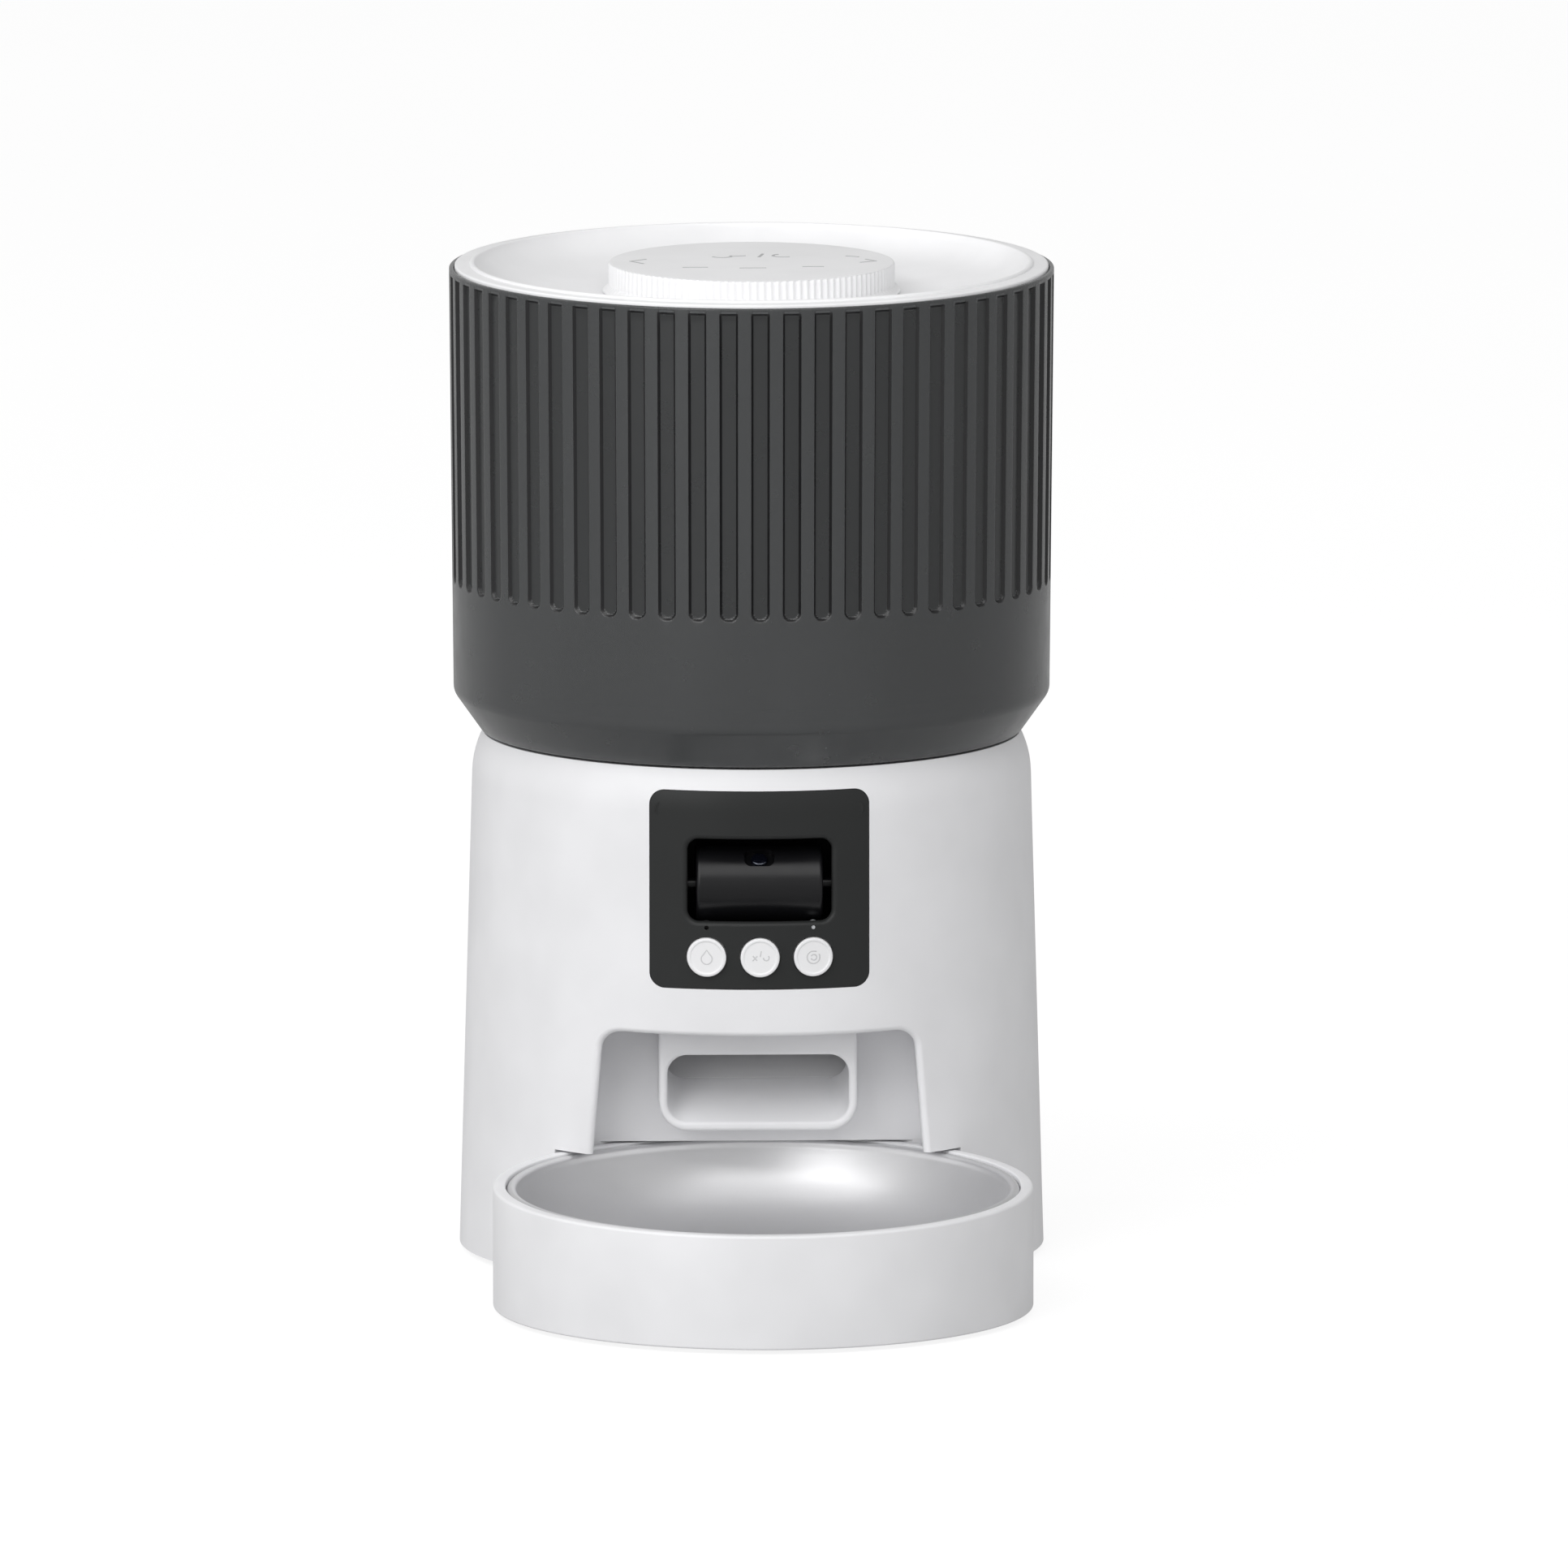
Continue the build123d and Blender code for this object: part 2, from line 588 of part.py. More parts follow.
with BuildPart() as hopper:
    with BuildSketch(tower_side) as hopper_section:
        with BuildLine():
            Polyline(
                (60.0, hopper_foot_z), (hopper_foot_r, hopper_foot_z),
                (hopper_knee_r, hopper_knee_z), (hopper_top_r, hopper_top_z),
                (lid_seat_r, hopper_top_z), (lid_seat_r, lid_seat_z),
                (hopper_top_r - wall, lid_seat_z), (hopper_knee_r - wall, hopper_knee_z + 1.0),
                (hopper_foot_r - 1.6, hopper_foot_z + wall), (60.0, hopper_foot_z + wall),
                close=True,
            )
        make_face()
        for radius, corner in (
            (5.0, (hopper_knee_r, hopper_knee_z)),
            (5.0, (hopper_knee_r - wall, hopper_knee_z + 1.0)),
            (1.8, (hopper_foot_r, hopper_foot_z)),
        ):
            fillet(hopper_section.vertices().sort_by_distance(corner)[0], radius)
    revolve(axis=tower_axis)
    # Upright grooves with round feet run round the smoked wall, up to its rim.
    lean = (hopper_top_r - hopper_knee_r) / (hopper_top_z - hopper_knee_z)
    groove_r = hopper_knee_r + lean * (groove_foot_z - hopper_knee_z) - groove_depth
    for groove in range(groove_count):
        angle = 360 / groove_count * groove - 90
        outward = Vector(cos(radians(angle)), sin(radians(angle)), -lean)
        along = Vector(-sin(radians(angle)), cos(radians(angle)), 0)
        foot = Vector(groove_r * cos(radians(angle)), tower_y + groove_r * sin(radians(angle)),
                      groove_foot_z)
        with BuildSketch(Plane(origin=foot, x_dir=along, z_dir=outward)) as groove_face:
            with Locations((0, groove_width / 2)):
                Circle(groove_width / 2)
            with Locations((0, groove_width / 2 + 60)):
                Rectangle(groove_width, 120)
        extrude(groove_face.sketch, amount=4, mode=Mode.SUBTRACT)
    # Two catches inside the mouth hold the lid's latch bolts.
    for side in (-1, 1):
        block(sorted((side * 88.6, side * 93.0)), (tower_y - 10, tower_y + 10), (287, 297.4))
        block(sorted((side * 88.0, side * 92.4)), (tower_y - 7.6, tower_y + 7.6), (292.4, 296.6),
              mode=Mode.SUBTRACT)

with BuildPart() as hopper_floor:
    turn(((50.0, 158.6), (51.4, 158.6), (51.4, 165.3), (59.6, 165.3), (59.6, 167.7),
          (82.0, 167.7), (90.2, 180.6), (90.2, 184.0), (87.6, 184.0), (59.0, 170.4), (50.0, 167.6)))
    # A shield keeps loose food off the pocket that stands over the drop.
    with BuildSketch(Plane.XY.offset(158.6)) as shield:
        with Locations((0, tower_y)):
            Circle(50.6)
        with Locations((0, depth(36))):
            Rectangle(2 * mouth_half + 12, 56, mode=Mode.INTERSECT)
    extrude(shield.sketch, amount=1.8)

with BuildPart() as wiper_flaps:
    for side in (-1, 1):
        x = side * (mouth_half + 3.4)
        block((x - 0.6, x + 0.6), (depth(37), depth(12)), (155.2, 158.5))

# ---------------------------------------------------------------- lid

with BuildPart() as lid:
    with BuildSketch(tower_side) as lid_section:
        with BuildLine():
            dish = Spline((86.8, lid_rim_z + 0.1), (82.6, 307.4), (73.0, 304.6), (50.0, dish_floor_z),
                          tangents=((-0.35, -1), (-1, -0.02)))
            bead = ThreePointArc(dish @ 0, (87.6, lid_rim_z + 0.75), (88.5, lid_rim_z))
            outer = Polyline(bead @ 1, (lid_rim_r - 0.6, lid_rim_z), (lid_rim_r, lid_rim_z - 0.6),
                             (lid_rim_r, lid_seat_z + 0.3), (91.8, lid_seat_z + 0.3), (91.8, 298.0),
                             (89.8, 298.0), (89.8, 306.5), (86.5, 306.5))
            under = Spline(outer @ 1, (81.4, 304.4), (72.4, 302.4), (50.0, dish_floor_z - dish_skin),
                           tangents=((-0.9, -0.5), (-1, -0.02)))
            Polyline(under @ 1, (stem_r + 0.08, dish_floor_z - dish_skin),
                     (stem_r + 0.08, dish_floor_z), dish @ 1)
        make_face()
    revolve(axis=tower_axis)
    for place in lid_screw_places:
        rod(4.0, 291.6, dish_floor_z - dish_skin + 0.4, place)
        rod(screw_r, 291.0, 299.4, place, mode=Mode.SUBTRACT)

with BuildPart() as lid_seal:
    turn(((91.85, 300.5), (92.35, 301.2), (92.35, 303.6), (91.85, 304.3)))

with BuildPart() as lid_knob:
    with BuildSketch(Plane.XY.offset(knob_foot_z + 1.6)) as knob_plan:
        with Locations((0, tower_y)):
            Circle(knob_r)
            with PolarLocations(knob_r + 0.25, knob_ribs):
                Circle(0.75, mode=Mode.SUBTRACT)
    extrude(knob_plan.sketch, amount=knob_top_z - 1.2 - knob_foot_z - 1.6)
    turn(((0, knob_top_z - 1.3), (knob_r - 0.1, knob_top_z - 1.3), (knob_r - 0.2, knob_top_z - 0.5),
          (knob_r - 0.8, knob_top_z), (0, knob_top_z)))
    turn(((knob_skirt_r, knob_foot_z), (knob_skirt_r - 0.4, knob_foot_z + 1.0),
          (knob_r, knob_foot_z + 2.4), (knob_r - 3, knob_foot_z + 2.4), (knob_r - 3, knob_foot_z)))
    turn(((11, knob_foot_z - 1), (knob_r - 3, knob_foot_z - 1), (knob_r - 3, knob_top_z - 2.6),
          (11, knob_top_z - 2.6)), mode=Mode.SUBTRACT)
    rod(stem_r, 300.3, knob_top_z - 2, (0, tower_y))
    rod(screw_r, 299.0, 308.0, mode=Mode.SUBTRACT)

with BuildPart() as knob_cam:
    rod(23.0, 297.7, 300.3)
    rod(screw_r, 297, 301, mode=Mode.SUBTRACT)
    # Each slot is a short spiral that drives its bolt out as the knob turns.
    for start in (0, 180):
        with BuildSketch(Plane.XY.offset(297)) as slot:
            with BuildLine() as spiral:
                ThreePointArc(*(polar(cam_start_r + latch_travel * share, start - latch_turn * share)
                                for share in (-0.04, 0.5, 1.04)))
            trace(spiral.line, line_width=2 * cam_pin_r + 0.9)
            for share in (-0.04, 1.04):
                with Locations(polar(cam_start_r + latch_travel * share,
                                     start - latch_turn * share)):
                    Circle(cam_pin_r + 0.45)
        extrude(slot.sketch, amount=4, mode=Mode.SUBTRACT)

with BuildPart() as knob_screw:
    screw((0, tower_y), 297.7, 9.0, head=2.0, head_r=3.2)

bolts = {}
for side, name in ((-1, "latch_bolt_left"), (1, "latch_bolt_right")):
    with BuildPart() as bolts[name]:
        block(sorted((side * 11.0, side * 88.2)), (tower_y - 7.0, tower_y + 7.0), (293.0, 296.0))
        rod(cam_pin_r, 295.0, 300.0, (side * cam_start_r, tower_y))
        block(sorted((side * 50.0, side * 80.0)), (tower_y - 3.0, tower_y + 3.0), (292.0, 297.0),
              mode=Mode.SUBTRACT)

with BuildPart() as latch_housing:
    turn(((0, 289.6), (46.0, 289.6), (46.0, dish_floor_z - dish_skin), (44.2, dish_floor_z - dish_skin),
          (44.2, 291.6), (0, 291.6)))
    block((-50, 50), (tower_y - 7.3, tower_y + 7.3), (292.6, 296.4), mode=Mode.SUBTRACT)
    for place in lid_screw_places:
        rod(screw_r, 289, 292, place, mode=Mode.SUBTRACT)

with BuildPart() as lid_screws:
    for place in lid_screw_places:
        screw(place, 289.6, 9.0)

with BuildPart() as desiccant_cover:
    turn(((0, 281.8), (45.2, 281.8), (45.8, 282.6), (45.8, 289.3), (44.2, 289.3), (44.2, 283.4),
          (0, 283.4)))
    with Locations((0, tower_y, 282.6)):
        for ring_r, holes in ((12, 8), (22, 14), (32, 20)):
            with PolarLocations(ring_r, holes):
                Cylinder(1.6, 4, mode=Mode.SUBTRACT)

with BuildPart() as desiccant_pack:
    turn(((0, 283.7), (26.5, 283.7), (29.5, 285.0), (29.5, 286.4), (26.5, 287.6), (0, 287.6)))

# ---------------------------------------------------------------- base, batteries and electronics

with BuildPart() as base_plate:
    rod(plate_r, plate_z, plate_top_z)
    rod(bowl_ring_r + notch_gap + wall + 0.3, 0, 10, (0, bowl_y), mode=Mode.SUBTRACT)
    block((-50.3, 50.3), (depth(6.3), depth(-54.3)), (0, 10), mode=Mode.SUBTRACT)
    with Locations((0, depth(-71), plate_z)):
        with PolarLocations(6, 8):
            Cylinder(1.2, 12, mode=Mode.SUBTRACT)
        Cylinder(1.2, 12, mode=Mode.SUBTRACT)
    for place in base_screw_places:
        rod(screw_r, 0, 10, place, mode=Mode.SUBTRACT)

foot_places = [(side * x, y) for side in (-1, 1) for x, y in ((75.0, depth(18)), (50.0, depth(-58)))]
with BuildPart() as rubber_feet:
    for place in foot_places:
        rod(7.0, 0, plate_z, place)

with BuildPart() as base_screws:
    for place in base_screw_places:
        screw(place, plate_z, 12.0)

box_x = (-54.5, 54.5)
box_y = (depth(12), depth(-58))
with BuildPart() as battery_box:
    block(box_x, box_y, (plate_top_z, 42))
    block((-52.7, 52.7), (depth(10.2), depth(-56.2)), (0, 40), mode=Mode.SUBTRACT)
    # Two slotted rails on its roof hold the main board upright.
    for side in (-1, 1):
        block(sorted((side * 27, side * 32)), (depth(-53), depth(-58)), (42, 66))
    block((-30.2, 30.2), (depth(-54.6), depth(-56.6)), (42.5, 70), mode=Mode.SUBTRACT)

with BuildPart() as battery_door:
    block((-50, 50), (depth(6), depth(-54)), (plate_z, plate_z + 1.8))

cell_span = (6.0, -54.0)    # the cells' flat ends, in front of the tower axis
nub = 1.3
with BuildPart() as batteries:
    for row in (-1, 0, 1):
        x = row * cell_pitch
        front_rod(cell_r, x, cell_z, *cell_span)
        # Neighbouring cells face opposite ways.
        nub_at = cell_span[0] if row == 0 else cell_span[1] - nub
        front_rod(4.7, x, cell_z, nub_at + nub, nub_at)

with BuildPart() as battery_contacts:
    for row in (-1, 0, 1):
        x = row * cell_pitch
        block((x - 9, x + 9), (depth(10.2), depth(9.4)), (cell_z - 9, cell_z + 9))
        block((x - 9, x + 9), (depth(-55.4), depth(-56.2)), (cell_z - 9, cell_z + 9))
        if row == 0:
            front_rod(5.0, x, cell_z, cell_span[1], -55.4)
        else:
            front_rod(5.0, x, cell_z, 9.4, cell_span[0])

with BuildPart() as main_board:
    block((-30, 30), (depth(-54.8), depth(-56.4)), (42.7, 100))

with BuildPart() as board_parts:
    block((-12, 4), (depth(-52.4), depth(-54.8)), (76, 92))
    block((10, 24), (depth(-51.4), depth(-54.8)), (74, 88))
    block((-24, -14), (depth(-49.4), depth(-54.8)), (56, 64))
    block((8, 22), (depth(-49.4), depth(-54.8)), (56, 63))

with BuildPart() as power_inlet:
    front_rod(5.0, 0, 20, -base_r + 13.5, -base_r + 1.0)
    front_rod(2.8, 0, 20, -base_r + 10.5, -base_r - 1.0, mode=Mode.SUBTRACT)
    front_rod(1.0, 0, 20, -base_r + 11.0, -base_r + 2.0)

with BuildPart() as speaker:
    rod(11.0, plate_top_z, plate_top_z + 4.2, (0, depth(-71)))
    rod(6.0, plate_top_z + 4.2, plate_top_z + 7.0, (0, depth(-71)))

# ---------------------------------------------------------------- bowl tray and bowl

with BuildPart() as bowl_tray:
    with BuildSketch(Plane.XY.offset(1.5)) as tray_plan:
        with Locations((0, bowl_y)):
            Circle(bowl_ring_r)
    extrude(tray_plan.sketch, amount=60)
    split(bisect_by=bowl_rim, keep=Keep.BOTTOM)
    rod(bowl_ring_r - 2.2, 3.9, tray_rim_z - 8, (0, bowl_y), mode=Mode.SUBTRACT)
    with BuildSketch(bowl_rim.offset(-12)) as ledge_hole:
        Circle(78.4)
    extrude(ledge_hole.sketch, amount=60, mode=Mode.SUBTRACT)
    with BuildSketch(bowl_rim.offset(-3.2)) as mouth_hole:
        Circle(bowl_mouth_r)
    extrude(mouth_hole.sketch, amount=60, mode=Mode.SUBTRACT)
    fillet(bowl_tray.edges().filter_by(GeomType.ELLIPSE).sort_by(Axis.Z)[-1:], 0.8)
    block((-22, 22), (bowl_y + bowl_ring_r - 4, depth(17)), (6, 11))

with BuildPart() as tray_feet:
    for bearing in (30, 150, 270):
        rod(5.0, 0, 1.5, polar(68.0, bearing, (0.0, bowl_y)))

with BuildPart() as steel_bowl:
    with BuildSketch(Plane(origin=bowl_rim.origin, x_dir=(1, 0, 0),
                           z_dir=-bowl_rim.y_dir)) as bowl_section:
        with BuildLine():
            inside = Spline((0, -bowl_drop), (44, -bowl_drop + 1.6), (65, -22.6), (74.0, -10.5),
                            (77.1, -2.4), tangents=((1, 0), (0.2, 1)))
            roll = ThreePointArc(inside @ 1, (78.5, -0.4), (80.1, -1.6))
            lip = Polyline(roll @ 1, (80.1, -2.9), (77.9, -2.9))
            outside = Spline(lip @ 1, (74.8, -10.8), (65.6, -23.3), (44.2, -bowl_drop + 0.8),
                             (0, -bowl_drop - 0.8), tangents=((-0.2, -1), (-1, 0)))
            Line(outside @ 1, inside @ 0)
        make_face()
    revolve(axis=Axis(bowl_rim.origin, bowl_rim.z_dir))

# ---------------------------------------------------------------- write every piece

pieces = {
    "body_shell": body_shell, "front_panel": front_panel, **buttons,
    "button_board": button_board, "tact_switches": tact_switches, "microphone": microphone,
    "status_light": status_light, "camera_bay": camera_bay, "panel_screws": panel_screws,
    "camera_barrel": camera_barrel, "camera_lens": camera_lens, "metering_cup": metering_cup,
    "cup_screws": cup_screws, "portion_wheel": portion_wheel, "output_gear": output_gear,
    "second_gear": second_gear, "first_gear": first_gear, "motor_pinion": motor_pinion,
    "gear_pins": gear_pins, "gearbox_case": gearbox_case, "gearbox_cover": gearbox_cover,
    "shaft_bush": shaft_bush, "gearbox_screws": gearbox_screws, "gear_motor": gear_motor,
    "outlet_chute": outlet_chute, "hopper": hopper, "hopper_floor": hopper_floor,
    "wiper_flaps": wiper_flaps, "lid": lid, "lid_seal": lid_seal, "lid_knob": lid_knob,
    "knob_cam": knob_cam, "knob_screw": knob_screw, **bolts, "latch_housing": latch_housing,
    "lid_screws": lid_screws, "desiccant_cover": desiccant_cover,
    "desiccant_pack": desiccant_pack, "base_plate": base_plate, "rubber_feet": rubber_feet,
    "base_screws": base_screws, "battery_box": battery_box,
    "battery_door": battery_door, "batteries": batteries, "battery_contacts": battery_contacts,
    "main_board": main_board, "board_parts": board_parts, "power_inlet": power_inlet,
    "speaker": speaker, "bowl_tray": bowl_tray, "tray_feet": tray_feet,
    "steel_bowl": steel_bowl,
}
for name, builder in pieces.items():
    keep(builder, name)
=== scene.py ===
"""Looks of the automatic pet feeder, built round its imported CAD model.

The tower, its inner works and the front panel keep their CAD shapes and get finishes. The smoked
hopper, the lid and its knob, the buttons, the tray and the steel bowl are made again here with
finer surfaces. Lengths are millimetres in the classes and metres in Blender.
"""

import json
import logging
from dataclasses import dataclass, field
from enum import Enum
from math import atan2, cos, degrees, hypot, pi, radians, sin, sqrt, tan
from typing import Callable, Iterable, Sequence

import bmesh
import bpy
from mathutils import Matrix, Vector


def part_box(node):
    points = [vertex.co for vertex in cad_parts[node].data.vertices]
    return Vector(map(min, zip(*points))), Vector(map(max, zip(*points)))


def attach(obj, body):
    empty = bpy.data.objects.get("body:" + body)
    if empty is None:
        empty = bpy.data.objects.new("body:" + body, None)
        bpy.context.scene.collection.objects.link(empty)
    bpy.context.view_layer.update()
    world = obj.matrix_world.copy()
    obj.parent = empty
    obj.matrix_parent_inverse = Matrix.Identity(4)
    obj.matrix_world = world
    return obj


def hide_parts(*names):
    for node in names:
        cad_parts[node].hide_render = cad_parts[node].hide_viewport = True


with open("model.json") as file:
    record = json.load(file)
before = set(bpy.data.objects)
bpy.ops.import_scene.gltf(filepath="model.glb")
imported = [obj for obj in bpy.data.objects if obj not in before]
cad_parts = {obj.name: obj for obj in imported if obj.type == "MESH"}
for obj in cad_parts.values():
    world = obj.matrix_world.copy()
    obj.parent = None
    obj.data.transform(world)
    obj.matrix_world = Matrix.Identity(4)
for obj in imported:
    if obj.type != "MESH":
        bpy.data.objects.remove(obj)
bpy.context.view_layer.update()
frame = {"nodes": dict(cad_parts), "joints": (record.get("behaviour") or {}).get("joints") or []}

MM = 0.001
log = logging.getLogger("feeder")

Point = tuple[float, float]
Triple = tuple[float, float, float]
Colour = Triple
Place = Callable[[float, float, float], Vector]
Socket = bpy.types.NodeSocket

FRONT_BEARING = -90.0               # degrees: towards the camera, where every spin starts


# ------------------------------------------------------------------ places taken from the frame

def axis_of(joint_name: str) -> Vector:
    """Find where a hinge's axis stands.

    Args:
        joint_name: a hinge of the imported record.

    Returns:
        A point on the axis, in metres.
    """
    joint = next(j for j in frame["joints"] if j["name"] == joint_name)
    return Vector(joint["pos_m"])


TOWER = axis_of("knob_turn")
TRAY_LOW, TRAY_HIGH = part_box("bowl_tray")
BOWL = Vector((0.0, TRAY_LOW.y + (TRAY_HIGH.x - TRAY_LOW.x) / 2, 0.0))


# ------------------------------------------------------------------ finishes

class Shader:
    """A material's node tree, with short ways to add the nodes that the finishes share."""

    def __init__(self, name: str) -> None:
        """Start a material with one Principled BSDF."""
        self.material = bpy.data.materials.new(name)
        self.material.use_nodes = True
        self.tree = self.material.node_tree
        self.surface = self.tree.nodes["Principled BSDF"]
        self.place = self.tree.nodes.new("ShaderNodeTexCoord").outputs["Object"]

    def set(self, **values: object) -> None:
        """Set constants on the Principled BSDF's own sockets, with _ for spaces in their names."""
        for key, value in values.items():
            self.surface.inputs[key.replace("_", " ")].default_value = value

    def noise(self, size_mm: float, detail: float = 3.0, stretch: Triple = (1, 1, 1)) -> Socket:
        """Add a noise texture.

        Args:
            size_mm: the size of its blotches.
            detail: how many finer layers it has.
            stretch: how its space is scaled along each axis.

        Returns:
            The noise's value socket.
        """
        mapping = self.tree.nodes.new("ShaderNodeMapping")
        mapping.inputs["Scale"].default_value = stretch
        self.tree.links.new(self.place, mapping.inputs["Vector"])
        node = self.tree.nodes.new("ShaderNodeTexNoise")
        node.inputs["Scale"].default_value = 1.0 / (size_mm * MM)
        node.inputs["Detail"].default_value = detail
        self.tree.links.new(mapping.outputs["Vector"], node.inputs["Vector"])
        return node.outputs["Fac"]

    def spread(self, value: Socket, low: float, high: float) -> Socket:
        """Stretch a noise's middle range to low and high, and give the new socket."""
        node = self.tree.nodes.new("ShaderNodeMapRange")
        node.inputs["From Min"].default_value = 0.3
        node.inputs["From Max"].default_value = 0.7
        node.inputs["To Min"].default_value = low
        node.inputs["To Max"].default_value = high
        self.tree.links.new(value, node.inputs["Value"])
        return node.outputs["Result"]

    def mix(self, share: Socket, first: Colour, second: Colour) -> Socket:
        """Blend two colours by a share from 0 to 1, and give the colour socket."""
        node = self.tree.nodes.new("ShaderNodeMix")
        node.data_type = "RGBA"
        node.inputs["A"].default_value = (*first, 1.0)
        node.inputs["B"].default_value = (*second, 1.0)
        self.tree.links.new(share, node.inputs["Factor"])
        return node.outputs["Result"]

    def bump(self, height: Socket, depth_mm: float) -> None:
        """Raise the surface by a height socket, this deep in all."""
        node = self.tree.nodes.new("ShaderNodeBump")
        node.inputs["Strength"].default_value = 1.0
        node.inputs["Distance"].default_value = depth_mm * MM
        self.tree.links.new(height, node.inputs["Height"])
        self.feed("Normal", node.outputs["Normal"])

    def feed(self, socket: str, source: Socket) -> None:
        """Link a source to one of the Principled BSDF's sockets."""
        self.tree.links.new(source, self.surface.inputs[socket])

    def tint(self, pattern: Socket, colour: Colour, low: float, high: float) -> None:
        """Let the colour drift between two factors of itself as a pattern does."""
        share = self.spread(pattern, 0.0, 1.0)
        self.feed("Base Color", self.mix(share, scaled(colour, low), scaled(colour, high)))

    def gloss(self, pattern: Socket, roughness: float, swing: float) -> None:
        """Let the roughness drift by a share of itself either way as a pattern does."""
        self.feed("Roughness", self.spread(pattern, roughness * (1 - swing),
                                           roughness * (1 + swing)))


def scaled(colour: Colour, factor: float) -> Colour:
    """Darken or lighten a colour."""
    return tuple(min(1.0, channel * factor) for channel in colour)


@dataclass(frozen=True)
class MouldedPlastic:
    """A moulded plastic: fine tool grain, a slow drift of tone, and patchy gloss."""

    name: str
    colour: Colour
    roughness: float
    grain_mm: float = 0.35
    grain_depth_mm: float = 0.006
    drift: float = 0.03
    coat: float = 0.0
    shine: float = 0.5
    tone_patch_mm: float = 28.0
    gloss_patch_mm: float = 6.0
    gloss_drift: float = 0.08

    def make(self) -> bpy.types.Material:
        """Build the material."""
        shader = Shader(self.name)
        shader.tint(shader.noise(self.tone_patch_mm, 2.0), self.colour, 1 - self.drift,
                    1 + self.drift)
        shader.gloss(shader.noise(self.gloss_patch_mm, 4.0), self.roughness, self.gloss_drift)
        shader.bump(shader.noise(self.grain_mm, 2.0), self.grain_depth_mm)
        shader.set(Coat_Weight=self.coat, Coat_Roughness=0.12, IOR=1.5,
                   Specular_IOR_Level=self.shine)
        return shader.material


@dataclass(frozen=True)
class SmokedPlastic:
    """Smoked, see-through plastic: dark tint, faint waviness, semi-gloss skin."""

    name: str
    tint: Colour
    roughness: float
    clearness: float
    tone_patch_mm: float = 40.0
    wave_mm: float = 14.0
    wave_depth_mm: float = 0.012

    def make(self) -> bpy.types.Material:
        """Build the material."""
        shader = Shader(self.name)
        tone = shader.noise(self.tone_patch_mm, 2.0, (1, 1, 0.25))
        shader.tint(tone, self.tint, 0.93, 1.07)
        shader.gloss(shader.noise(9.0, 3.0), self.roughness, 0.15)
        shader.bump(shader.noise(self.wave_mm, 2.0, (1, 1, 0.3)), self.wave_depth_mm)
        shader.set(Transmission_Weight=self.clearness, IOR=1.49, Specular_IOR_Level=0.5)
        return shader.material


@dataclass(frozen=True)
class SatinMetal:
    """A metal with fine scratches or a fine bead-blasted grain."""

    name: str
    colour: Colour
    roughness: float
    grain_mm: float = 0.5
    stretch: Triple = (1, 1, 1)
    grain_depth_mm: float = 0.004

    def make(self) -> bpy.types.Material:
        """Build the material."""
        shader = Shader(self.name)
        grain = shader.noise(self.grain_mm, 3.0, self.stretch)
        shader.tint(grain, self.colour, 0.94, 1.04)
        shader.gloss(shader.noise(7.0, 4.0), self.roughness, 0.12)
        shader.bump(grain, self.grain_depth_mm)
        shader.set(Metallic=1.0)
        return shader.material


@dataclass(frozen=True)
class SoftRubber:
    """Rubber or silicone: matt, dusty, slightly uneven."""

    name: str
    colour: Colour
    roughness: float = 0.75

    def make(self) -> bpy.types.Material:
        """Build the material."""
        shader = Shader(self.name)
        dust = shader.noise(3.0, 5.0)
        shader.tint(dust, self.colour, 1.0, 1.35)
        shader.gloss(shader.noise(1.2, 3.0), self.roughness, 0.1)
        shader.bump(shader.noise(0.8, 3.0), 0.015)
        shader.set(Sheen_Weight=0.15)
        return shader.material


@dataclass(frozen=True)
class ClearPart:
    """Coated glass or a clear plastic light pipe."""

    name: str
    colour: Colour
    roughness: float = 0.03

    def make(self) -> bpy.types.Material:
        """Build the material."""
        shader = Shader(self.name)
        smear = shader.noise(2.0, 4.0)
        shader.tint(smear, self.colour, 1.0, 1.2)
        shader.feed("Roughness", shader.spread(smear, self.roughness, self.roughness * 2.5))
        shader.bump(shader.noise(6.0, 1.0), 0.002)
        shader.set(Transmission_Weight=0.6, Coat_Weight=1.0, Coat_Tint=(0.6, 0.7, 1.0, 1.0))
        return shader.material


@dataclass(frozen=True)
class CircuitBoard:
    """Green solder mask over raised copper tracks."""

    name: str
    mask: Colour = (0.015, 0.10, 0.035)
    track: Colour = (0.05, 0.24, 0.09)

    def make(self) -> bpy.types.Material:
        """Build the material."""
        shader = Shader(self.name)
        cells = shader.tree.nodes.new("ShaderNodeTexVoronoi")
        cells.distance = "MANHATTAN"
        cells.feature = "F1"
        cells.inputs["Scale"].default_value = 1.0 / (3.0 * MM)
        shader.tree.links.new(shader.place, cells.inputs["Vector"])
        tracks = shader.spread(cells.outputs["Distance"], 0.0, 1.0)
        shader.feed("Base Color", shader.mix(tracks, self.mask, self.track))
        shader.bump(tracks, 0.03)
        shader.set(Roughness=0.35, Coat_Weight=0.4)
        return shader.material


@dataclass(frozen=True)
class PaperSachet:
    """Fibrous, porous paper."""

    name: str
    colour: Colour

    def make(self) -> bpy.types.Material:
        """Build the material."""
        shader = Shader(self.name)
        fibre = shader.noise(1.0, 6.0, (1, 4, 1))
        shader.tint(fibre, self.colour, 0.9, 1.0)
        shader.bump(fibre, 0.05)
        shader.set(Roughness=0.9)
        return shader.material


